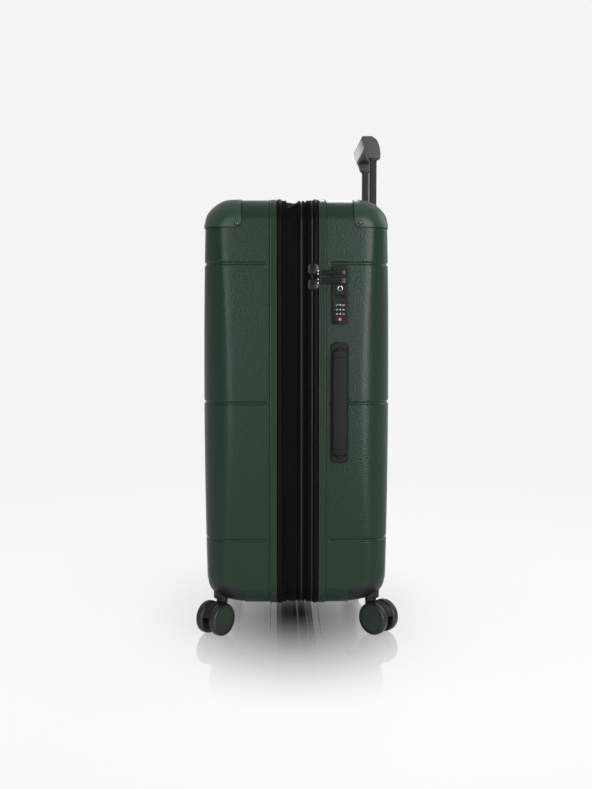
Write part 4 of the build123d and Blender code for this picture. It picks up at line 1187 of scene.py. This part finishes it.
sliderSettings = {"y": (18.2, 37.8), "upper": (629.4, 649.8), "lower": (602.8, 623.2), "pivot": (264.4, 35.8),
                  "bodyTop": 261.2, "tabThick": 3, "earHalf": 2.05}
px, py = sliderSettings["pivot"]
ears = {"upper": (0.6, 2.2, 2.2, 0.6), "lower": (0.6, 2.2, 3.4, 1.8)}
for label, (lowEdge, lowInner, highInner, highEdge) in ears.items():
    z0, z1 = sliderSettings[label]
    t0, t1 = lock["tabs"][label]
    sy0, sy1 = sliderSettings["y"]
    middle = (z0 + z1) / 2
    wing = [(sy0, z0 + 4), (sy0 + 4, z0), (sy1 - 6, z0 + 0.6), (sy1, z0 + 5), (sy1, z1 - 5), (sy1 - 6, z1 - 0.6),
            (sy0 + 4, z1), (sy0, z1 - 4)]
    saddle = across("slider", wing, 254, sliderSettings["bodyTop"], "blackChrome")
    softenEdges(saddle, 1.6, 4, 30)
    cut(saddle, wholeForm("cutter", -0.35, "blackChrome", coarse=2))
    parts = [saddle]
    for e0, e1 in ((t0 + lowEdge, t0 + lowInner), (t1 - highInner, t1 - highEdge)):
        loop = [(px + sliderSettings["earHalf"] * math.cos(q), py + sliderSettings["earHalf"] * math.sin(q))
                for q in np.linspace(-math.pi / 2, math.pi / 2, 9)]
        loop += [(260, py + sliderSettings["earHalf"]), (260, py - sliderSettings["earHalf"])]
        parts.append(softenEdges(column("ear", loop, 0, 0, e0, e1, "chrome"), 0.3, 2, 50))
    pin = lathe("pin", [(0, t0 + lowEdge - 0.25), (1.05, t0 + lowEdge - 0.25), (1.05, t1 - highEdge + 0.25),
                        (0, t1 - highEdge + 0.25)], "chrome", 20)
    parts.append(placed(pin, Matrix.Translation((px * mm, py * mm, 0))))
    finish(join("zipSlider" + label.title(), parts), "rear_case", "slider_metal", "zip_slider_" + label)

    eye0, eye1 = t0 + lowInner + 0.2, t1 - highInner - 0.2
    half = sliderSettings["tabThick"] / 2
    loop = [(px + 2.5 * math.cos(q), py + 2.5 * math.sin(q)) for q in np.radians(np.linspace(125, 415, 20))]
    loop = [(px - half, py + 7), *loop, (px + half, py + 7)]
    eye = column("eye", loop, 0, 0, eye0, eye1, "blackChrome")
    bar = roundedBlock("pull", (px - half, py + 3.4, t0), (px + half, lock["tabTip"], t1), 0.9, "blackChrome", 3)
    cut(bar, roundedBlock("cutter", (px + half - 0.45, py + 9, t0 + 1.6),
                          (px + half + 4, lock["tabTip"] - 9, t1 - 1.6), 1.2, "lockDark", 3, "X"))
    cut(bar, eye, "UNION")
    cut(bar, placed(lathe("cutter", [(0, 600), (1.2, 600), (1.2, 660), (0, 660)], "chrome", 20),
                    Matrix.Translation((px * mm, py * mm, 0))))
    softenEdges(bar, 0.2, 1, 60)
    bar.name = "pullTab" + label.title()
    finish(bar, "pull_tab_" + label, "slider_metal", "pull_tab_" + label)


print("making the carry handles")
handle = {"length": 207, "width": 31, "rise": 15, "thick": 8.4, "tray": 1.6, "end": 12, "endHeight": 4, "stroke": 18,
          "stemReach": 86.5, "stem": (15, 8), "pocketDepth": 24, "crown": 2.4, "barWidth": 25.4}
sideFrame = Matrix(((0, 0, 1, 259.5 * mm), (0, -1, 0, 73 * mm), (1, 0, 0, 411 * mm), (0, 0, 0, 1)))
topFrame = Matrix(((1, 0, 0, 0), (0, 1, 0, 73 * mm), (0, 0, 1, 761.5 * mm), (0, 0, 0, 1)))


# the soft bar: a superellipse section that swells in the middle and rounds off at both ends
def archedBar(name, finishName):
    half = handle["length"] / 2 - handle["end"] - 0.8
    rows, around = 65, 36
    points = []
    turn = np.linspace(0, 2 * math.pi, around, endpoint=False)
    for u in np.sin(np.linspace(-math.pi / 2, math.pi / 2, rows)):
        x = u * half
        fade = max(0.0, 1 - abs(u) ** 26) ** 0.5
        wide = handle["barWidth"] / 2 * (1 - 0.05 * u * u) * (0.35 + 0.65 * fade)
        deep = handle["thick"] / 2 * (1 - 0.10 * u * u) * (0.25 + 0.75 * fade)
        middle = handle["rise"] - handle["thick"] / 2 - handle["crown"] * u * u * 0.6
        for q in turn:
            cy, cz = math.cos(q), math.sin(q)
            points.append((x, wide * math.copysign(abs(cy) ** 0.62, cy),
                           middle + deep * math.copysign(abs(cz) ** 0.72, cz)))
    faces = [(i * around + k, i * around + (k + 1) % around, (i + 1) * around + (k + 1) % around,
              (i + 1) * around + k)
             for i in range(rows - 1) for k in range(around)]
    faces += [tuple(range(around))[::-1], tuple(range((rows - 1) * around, rows * around))]
    return newPiece(name, points, faces, finishName, 50)


def stemBlocks(low, high, grow, finishName):
    sx, sy = handle["stem"][0] / 2 + grow, handle["stem"][1] / 2 + grow
    return [roundedBlock("stem", (side * handle["stemReach"] - sx, -sy, low),
                         (side * handle["stemReach"] + sx, sy, high), 1, finishName, 2) for side in (-1, 1)]


# the tray the bar lies in, with a raised rounded block at each end and pockets behind
def handleTray(name):
    half, broad = handle["length"] / 2, handle["width"] / 2
    tray = roundedBlock(name, (-half, -broad, -6), (half, broad, handle["tray"]), 9, "softTouch", 6, "Z")
    softenEdges(tray, 0.8, 3, 50)
    for side in (-1, 1):
        x0, x1 = sorted((side * half, side * (half - handle["end"] - 9)))
        end = roundedBlock("end", (x0, -broad + 0.3, -5), (x1, broad - 0.3, handle["tray"] + handle["endHeight"]),
                           8.6, "softTouch", 6, "Z")
        softenEdges(end, 2.2, 4, 50)
        inner0, inner1 = sorted((side * (half - handle["end"]), side * (half - handle["end"] - 20)))
        cut(end, roundedBlock("cutter", (inner0, -40, handle["tray"]), (inner1, 40, 30), 0, "softTouch"))
        cut(tray, end, "UNION")
    for pocket in stemBlocks(-handle["pocketDepth"], 1.0, 4, "moulding"):
        cut(tray, pocket, "UNION")
    for hole in stemBlocks(2 - handle["pocketDepth"], 30, 0.5, "lockDark"):
        cut(tray, hole)
    return tray


gripStem = 2.6 + handle["stroke"] - handle["pocketDepth"]
for label, place in (("side", sideFrame), ("top", topFrame)):
    tray = placed(handleTray(label + "HandleBase"), place)
    finish(tray, "rear_case", "grip_plastic", label + "_handle_base")
    bar = archedBar("bar", "softTouch")
    for stem in stemBlocks(gripStem, handle["rise"] - 4.5, 0, "moulding"):
        cut(bar, stem, "UNION", angle=50)
    for side in (-1, 1):
        x = side * (handle["length"] / 2 - handle["end"] - 13)
        cut(bar, roundedBlock("cutter", (x - 0.35, -40, handle["rise"] - 6.3), (x + 0.35, 40, 40), 0, "lockDark"),
            angle=50)
    bar.name = label + "HandleGrip"
    finish(placed(bar, place), label + "_handle", "grip_plastic", label + "_handle_grip")


print("making the lining and packing gear")
liningSettings = {"gap": 5.2, "thick": 1.0, "floor": 131, "wrinkle": 0.55, "frontEdge": -36, "rearEdge": 40}


# the packing space of one half at an inset from the case, clear of its wheel wells
def cavity(name, inset, names, y0, y1):
    space = wholeForm(name, inset, "lining")
    cut(space, roundedBlock("cutter", (-300, y0, -100), (300, y1, 900), 0, "lining"), "INTERSECT")
    more = inset - liningSettings["gap"]
    cutCorners(space, names, casterCut["x"] - 6.6 - more, casterCut["y"] - 6.6 - more, casterCut["z"] + 18 + more, 10)
    return space


# push a cloth's points about by smooth random waves
def wrinkled(piece, amount, seed):
    rng = np.random.default_rng(seed)
    co = np.empty(len(piece.data.vertices) * 3)
    piece.data.vertices.foreach_get("co", co)
    co = co.reshape(-1, 3) / mm
    shift = np.zeros_like(co)
    for wave in range(18):
        way = rng.normal(size=3)
        way *= 2 * math.pi / rng.uniform(45, 170) / np.linalg.norm(way)
        push = rng.normal(size=3) * (1, 1, 1)
        shift += np.outer(np.sin(co @ way + rng.uniform(0, 6.28)), push)
    co += shift * amount / 4
    piece.data.vertices.foreach_set("co", (co * mm).ravel())
    piece.data.update()
    return piece


g, th = liningSettings["gap"], liningSettings["thick"]
frontLining = cavity("frontLining", g, ("front_right", "front_left"), -200, liningSettings["frontEdge"])
cut(frontLining, cavity("cutter", g + th, ("front_right", "front_left"), -200, -20))
rearLining = cavity("rearLining", g, ("rear_right", "rear_left"), liningSettings["rearEdge"], liningSettings["floor"])
cut(rearLining, cavity("cutter", g + th, ("rear_right", "rear_left"), 20, liningSettings["floor"] - th))
wrap = wholeForm("wrap", g, "lining")
cut(wrap, roundedBlock("cutter", (-bezel["half"] - 0.6 - th, bezel["front"] - 0.6 - th, bezel["floor"] - 0.6 - th),
                       (bezel["half"] + 0.6 + th, liningSettings["floor"], 830), 3, "lining", 3, "XY"), "INTERSECT")
cut(rearLining, wrap, "UNION")
cut(rearLining, roundedBlock("cutter", (-bezel["half"] - 0.6, bezel["front"] - 0.6, bezel["floor"] - 0.6),
                             (bezel["half"] + 0.6, beyond["y"], beyond["top"]), 2, "lining", 2, "XY"))
window = [(low - 0.9, high + 0.9) for low, high in lock["inner"]]
cut(rearLining, roundedBlock("cutter", (240, window[1][0], window[2][0]), (264, window[1][1], window[2][1]), 1.5,
                             "lining", 2))
for piece, body, node, seed in ((frontLining, "front_case", "front_lining", 5),
                                (rearLining, "rear_case", "rear_lining", 8)):
    wrinkled(piece, liningSettings["wrinkle"], seed)
    finish(piece, body, "lining_cloth", node)

strap = {"x": 150, "z": (150, 670), "wide": 28, "thick": 1.3, "y": 129.9, "gap": (44, 76), "finish": "webbing"}
straps, runs = [], []
middle = midZ
reach = (strap["x"], (strap["z"][1] - strap["z"][0]) / 2)
long = math.hypot(*reach)
for side in (1, -1):
    tilt = math.atan2(reach[1], side * reach[0])
    band = roundedBlock("band", (-long, -strap["thick"] / 2, -strap["wide"] / 2),
                        (long, strap["thick"] / 2, strap["wide"] / 2), 0.5, "webbing", 2)
    lie = Matrix.Translation((0, (strap["y"] - strap["thick"] / 2) * mm, middle * mm))
    lie = lie @ Matrix.Rotation(-tilt, 4, "Y")
    straps.append(placed(band, lie))
    for edge in (-1, 1):
        run = [lie @ Vector((x * mm, (-strap["thick"] / 2 - 0.1) * mm, edge * (strap["wide"] / 2 - 3) * mm))
               for x in (-long, long)]
        runs.append([tuple(c / mm for c in p) for p in run])
cut(straps[0], straps[1], "UNION")
hx, hz = strap["gap"][0] / 2, strap["gap"][1] / 2
cut(straps[0], roundedBlock("cutter", (-hx, 100, middle - hz), (hx, 160, middle + hz), 0, "webbing"))
sewn = rowOf("strapStitches", runs, {"pitch": 3.6, "size": (2.4, 0.5, 0.45), "rounded": True, "finish": "lining"})
finish(join("packingStraps", [straps[0]]), "rear_case", "strap_web", "packing_straps")
finish(sewn, "rear_case", "strap_web")
buckle = roundedBlock("strapBuckle", (-21.8, 121, middle - 37.8), (21.8, 129.9, middle + 37.8), 8, "moulding", 5, "Y")
softenEdges(buckle, 1.8, 4, 50)
for z0, z1 in ((-30, -24), (24, 30)):
    cut(buckle, roundedBlock("cutter", (-15, 110, middle + z0), (15, 140, middle + z1), 2.5, "moulding", 4, "Y"))
cut(buckle, roundedBlock("cutter", (-12, 119, middle - 12), (12, 122.2, middle + 12), 4, "moulding", 4, "Y"))
finish(buckle, "rear_case", "black_moulding", "strap_buckle")

pocket = {"x": 200, "z": (180, 480), "y": -142, "back": -144, "belly": 1.6, "border": 9}
gx, gz = np.meshgrid(np.linspace(-1, 1, 49), np.linspace(-1, 1, 37), indexing="ij")
hx, hz, mz = pocket["x"], (pocket["z"][1] - pocket["z"][0]) / 2, (pocket["z"][1] + pocket["z"][0]) / 2
bulge = (1 - gx ** 4) * (1 - gz ** 4)
waves = 0.25 * np.sin(gx * 19 + gz * 5) * (1 - gx ** 4) * (1 - gz ** 2)
deep = pocket["back"] + 0.4 + bulge * pocket["belly"] + waves * 0.6
sheetPoints = np.column_stack([(gx * hx).ravel(), deep.ravel(), (mz + gz * hz).ravel()])
net = newPiece("pocketNet", sheetPoints, gridFaces(49, 37, 0), "mesh")
if net.data.polygons[0].normal.y < 0:
    net.data.flip_normals()
thick = net.modifiers.new("thick", "SOLIDIFY")
thick.thickness, thick.offset = 0.35 * mm, -1
bake(net, 60)
border = roundedBlock("pocketBorder", (-hx, pocket["back"], mz - hz), (hx, pocket["y"], mz + hz), 14, "tape", 5, "Y")
cut(border, roundedBlock("cutter", (-hx + pocket["border"], -160, mz - hz + pocket["border"]),
                         (hx - pocket["border"], -130, mz + hz - pocket["border"]), 9, "tape", 5, "Y"))
softenEdges(border, 0.6, 2, 50)
trim = rowOf("pocketStitches", [[(-hx + 12, pocket["y"] + 0.1, mz + s * (hz - 4.5)),
                                 (hx - 12, pocket["y"] + 0.1, mz + s * (hz - 4.5))]
                               for s in (-1, 1)], {"pitch": 3.2, "size": (2.1, 0.5, 0.45), "rounded": True,
                                                   "finish": "lining"})
finish(join("meshPocket", [net, border, trim]), "front_case", "pocket_mesh", "mesh_pocket")

zipPuller = roundedBlock("expansionSlider", (-261.5, -8.2, 300), (-252, -1.7, 316), 2.2, "blackChrome", 4, "X")
softenEdges(zipPuller, 1.0, 3, 50)
pull = roundedBlock("pull", (-264, -7.4, 270), (-261.3, -2.5, 312), 1.1, "blackChrome", 3)
cut(pull, roundedBlock("cutter", (-266, -6.0, 274), (-258, -3.9, 284), 1.2, "blackChrome", 3, "X"))
cut(zipPuller, pull, "UNION")
cut(zipPuller, wholeForm("cutter", -0.35, "blackChrome", coarse=2))
finish(zipPuller, "front_case", "slider_metal", "expansion_slider")

hingeRuns = []
for y in (19.2, 26.2):
    flat = np.column_stack([np.full(len(zs), -halves[0]), np.full(len(zs), y), zs])
    hingeRuns.append(caseSurface(flat[2:-2], -hinge["proud"] - 0.1))
hingeStitches = rowOf("hingeStitches", hingeRuns, stitchSettings)
hingeCloth = join("fabricHinge", [hingeCloth, hingeStitches])
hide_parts("fabric_hinge")
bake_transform(hingeCloth)
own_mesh(gusset)


print("setting the studio")
floorSettings = {"size": 60, "seen": 0.915, "glow": 0.84, "white": 0.10, "gloss": 0.05, "mirror": 1.0,
                 "mirrorMiddle": 0.1, "mirrorReach": (0.52, 0.35), "nearReach": (1.7, 1.7)}
mesh = bpy.data.meshes.new("floor")
reachOut = floorSettings["size"]
mesh.from_pydata([(-reachOut, -reachOut, 0), (reachOut, -reachOut, 0), (reachOut, reachOut, 0),
                  (-reachOut, reachOut, 0)], [],
                 [(0, 1, 2, 3)])
floor = addObject("floor", mesh)
floorFinish = bpy.data.materials.new("floor")
floorFinish.use_nodes = True
nodes, links = floorFinish.node_tree.nodes, floorFinish.node_tree.links
nodes.clear()


# a factor that falls smoothly from one under the case to nothing at the given reach
def fadeOut(reach, most, middle=0):
    lie, fade, part = (nodes.new("ShaderNode" + kind) for kind in ("Mapping", "TexGradient", "MapRange"))
    lie.inputs["Scale"].default_value = (1 / reach[0], 1 / reach[1], 1)
    lie.inputs["Location"].default_value = (-middle / reach[0], 0, 0)
    fade.gradient_type = "SPHERICAL"
    part.interpolation_type = "SMOOTHSTEP"
    part.inputs["To Max"].default_value = most
    links.new(floorPlace.outputs["Object"], lie.inputs["Vector"])
    links.new(lie.outputs["Vector"], fade.inputs["Vector"])
    links.new(fade.outputs["Fac"], part.inputs["Value"])
    return part.outputs["Result"]


floorPlace = nodes.new("ShaderNodeTexCoord")
glow, far, white, gloss = (nodes.new("ShaderNode" + kind)
                           for kind in ("Emission", "Emission", "BsdfDiffuse", "BsdfAnisotropic"))
glow.inputs["Strength"].default_value = floorSettings["glow"]
far.inputs["Strength"].default_value = floorSettings["seen"]
white.inputs["Color"].default_value = (floorSettings["white"],) * 3 + (1,)
gloss.inputs["Roughness"].default_value = floorSettings["gloss"]
gloss.inputs["Color"].default_value = (1, 1, 1, 1)
matte, mirrored, spread = (nodes.new("ShaderNode" + kind) for kind in ("AddShader", "MixShader", "MixShader"))
out = nodes.new("ShaderNodeOutputMaterial")
for a, b in (
    (glow.outputs[0], matte.inputs[0]), (white.outputs[0], matte.inputs[1]),
    (fadeOut(floorSettings["mirrorReach"], floorSettings["mirror"], floorSettings["mirrorMiddle"]),
     mirrored.inputs[0]),
    (matte.outputs[0], mirrored.inputs[1]), (gloss.outputs[0], mirrored.inputs[2]),
    (fadeOut(floorSettings["nearReach"], 1.6), spread.inputs[0]),
    (far.outputs[0], spread.inputs[1]), (mirrored.outputs[0], spread.inputs[2]), (spread.outputs[0], out.inputs[0]),
):
    links.new(a, b)
mesh.materials.append(floorFinish)

worldSettings = {"seen": 0.91, "bright": 0.9, "dim": 0.42, "from": -0.35, "to": 0.5}
world = bpy.data.worlds.new("studio")
studio.world = world
world.use_nodes = True
nodes, links = world.node_tree.nodes, world.node_tree.links
nodes.clear()
where = nodes.new("ShaderNodeTexCoord")
split = nodes.new("ShaderNodeSeparateXYZ")
ramp = nodes.new("ShaderNodeMapRange")
ramp.interpolation_type = "SMOOTHSTEP"
ramp.inputs["From Min"].default_value = worldSettings["from"]
ramp.inputs["From Max"].default_value = worldSettings["to"]
ramp.inputs["To Min"].default_value = worldSettings["bright"]
ramp.inputs["To Max"].default_value = worldSettings["dim"]
lit, seen = nodes.new("ShaderNodeBackground"), nodes.new("ShaderNodeBackground")
seen.inputs["Color"].default_value = (worldSettings["seen"],) * 3 + (1,)
path = nodes.new("ShaderNodeLightPath")
mix, out = nodes.new("ShaderNodeMixShader"), nodes.new("ShaderNodeOutputWorld")
links.new(where.outputs["Generated"], split.inputs["Vector"])
links.new(split.outputs["X"], ramp.inputs["Value"])
links.new(ramp.outputs["Result"], lit.inputs["Strength"])
links.new(path.outputs["Is Camera Ray"], mix.inputs["Fac"])
links.new(lit.outputs["Background"], mix.inputs[1])
links.new(seen.outputs["Background"], mix.inputs[2])
links.new(mix.outputs["Shader"], out.inputs["Surface"])

lampSettings = {
    "backTop": {"at": (-1.8, 0.30, 2.1), "aim": (0.2, 0.08, 0.75), "size": (0.25, 1.2), "power": 13},
    "topFill": {"at": (0.9, 0.5, 2.9), "aim": (0.1, 0, 0.5), "size": (1.4, 1.4), "power": 26, "gloss": False},
    "leftStrip": {"at": (2.70, -1.0, 1.0), "aim": (0.26, -0.11, 0.45), "size": (1.05, 2.4), "power": 34},
    "rightStrip": {"at": (2.60, 1.28, 1.0), "aim": (0.26, 0.12, 0.45), "size": (1.45, 2.4), "power": 78},
    "rearKey": {"at": (-0.9, 2.1, 1.5), "aim": (0, 0.1, 0.5), "size": (1.1, 1.4), "power": 9},
}
for name, lamp in lampSettings.items():
    light = bpy.data.lights.new(name, "AREA")
    light.shape, (light.size, light.size_y), light.energy = "RECTANGLE", lamp["size"], lamp["power"]
    holder = bpy.data.objects.new(name, light)
    holder.location = lamp["at"]
    holder.visible_camera = False
    holder.visible_glossy = lamp.get("gloss", True)
    holder.rotation_euler = (Vector(lamp["aim"]) - Vector(lamp["at"])).to_track_quat("-Z", "Y").to_euler()
    studio.collection.objects.link(holder)

view = {"at": (2.0013, -0.0363, 0.5526), "yaw": -1.1396, "down": 4.171, "lens": 46.51}
camera = bpy.data.cameras.new("camera")
camera.lens, camera.sensor_width = view["lens"], 36
camera.clip_end = 100
holder = bpy.data.objects.new("camera", camera)
yaw, down = math.radians(view["yaw"]), math.radians(view["down"])
forward = Vector((-math.cos(yaw) * math.cos(down), -math.sin(yaw) * math.cos(down), -math.sin(down)))
holder.location = view["at"]
holder.rotation_euler = forward.to_track_quat("-Z", "Y").to_euler()
studio.collection.objects.link(holder)
studio.camera = holder
studio.view_settings.view_transform = "Standard"
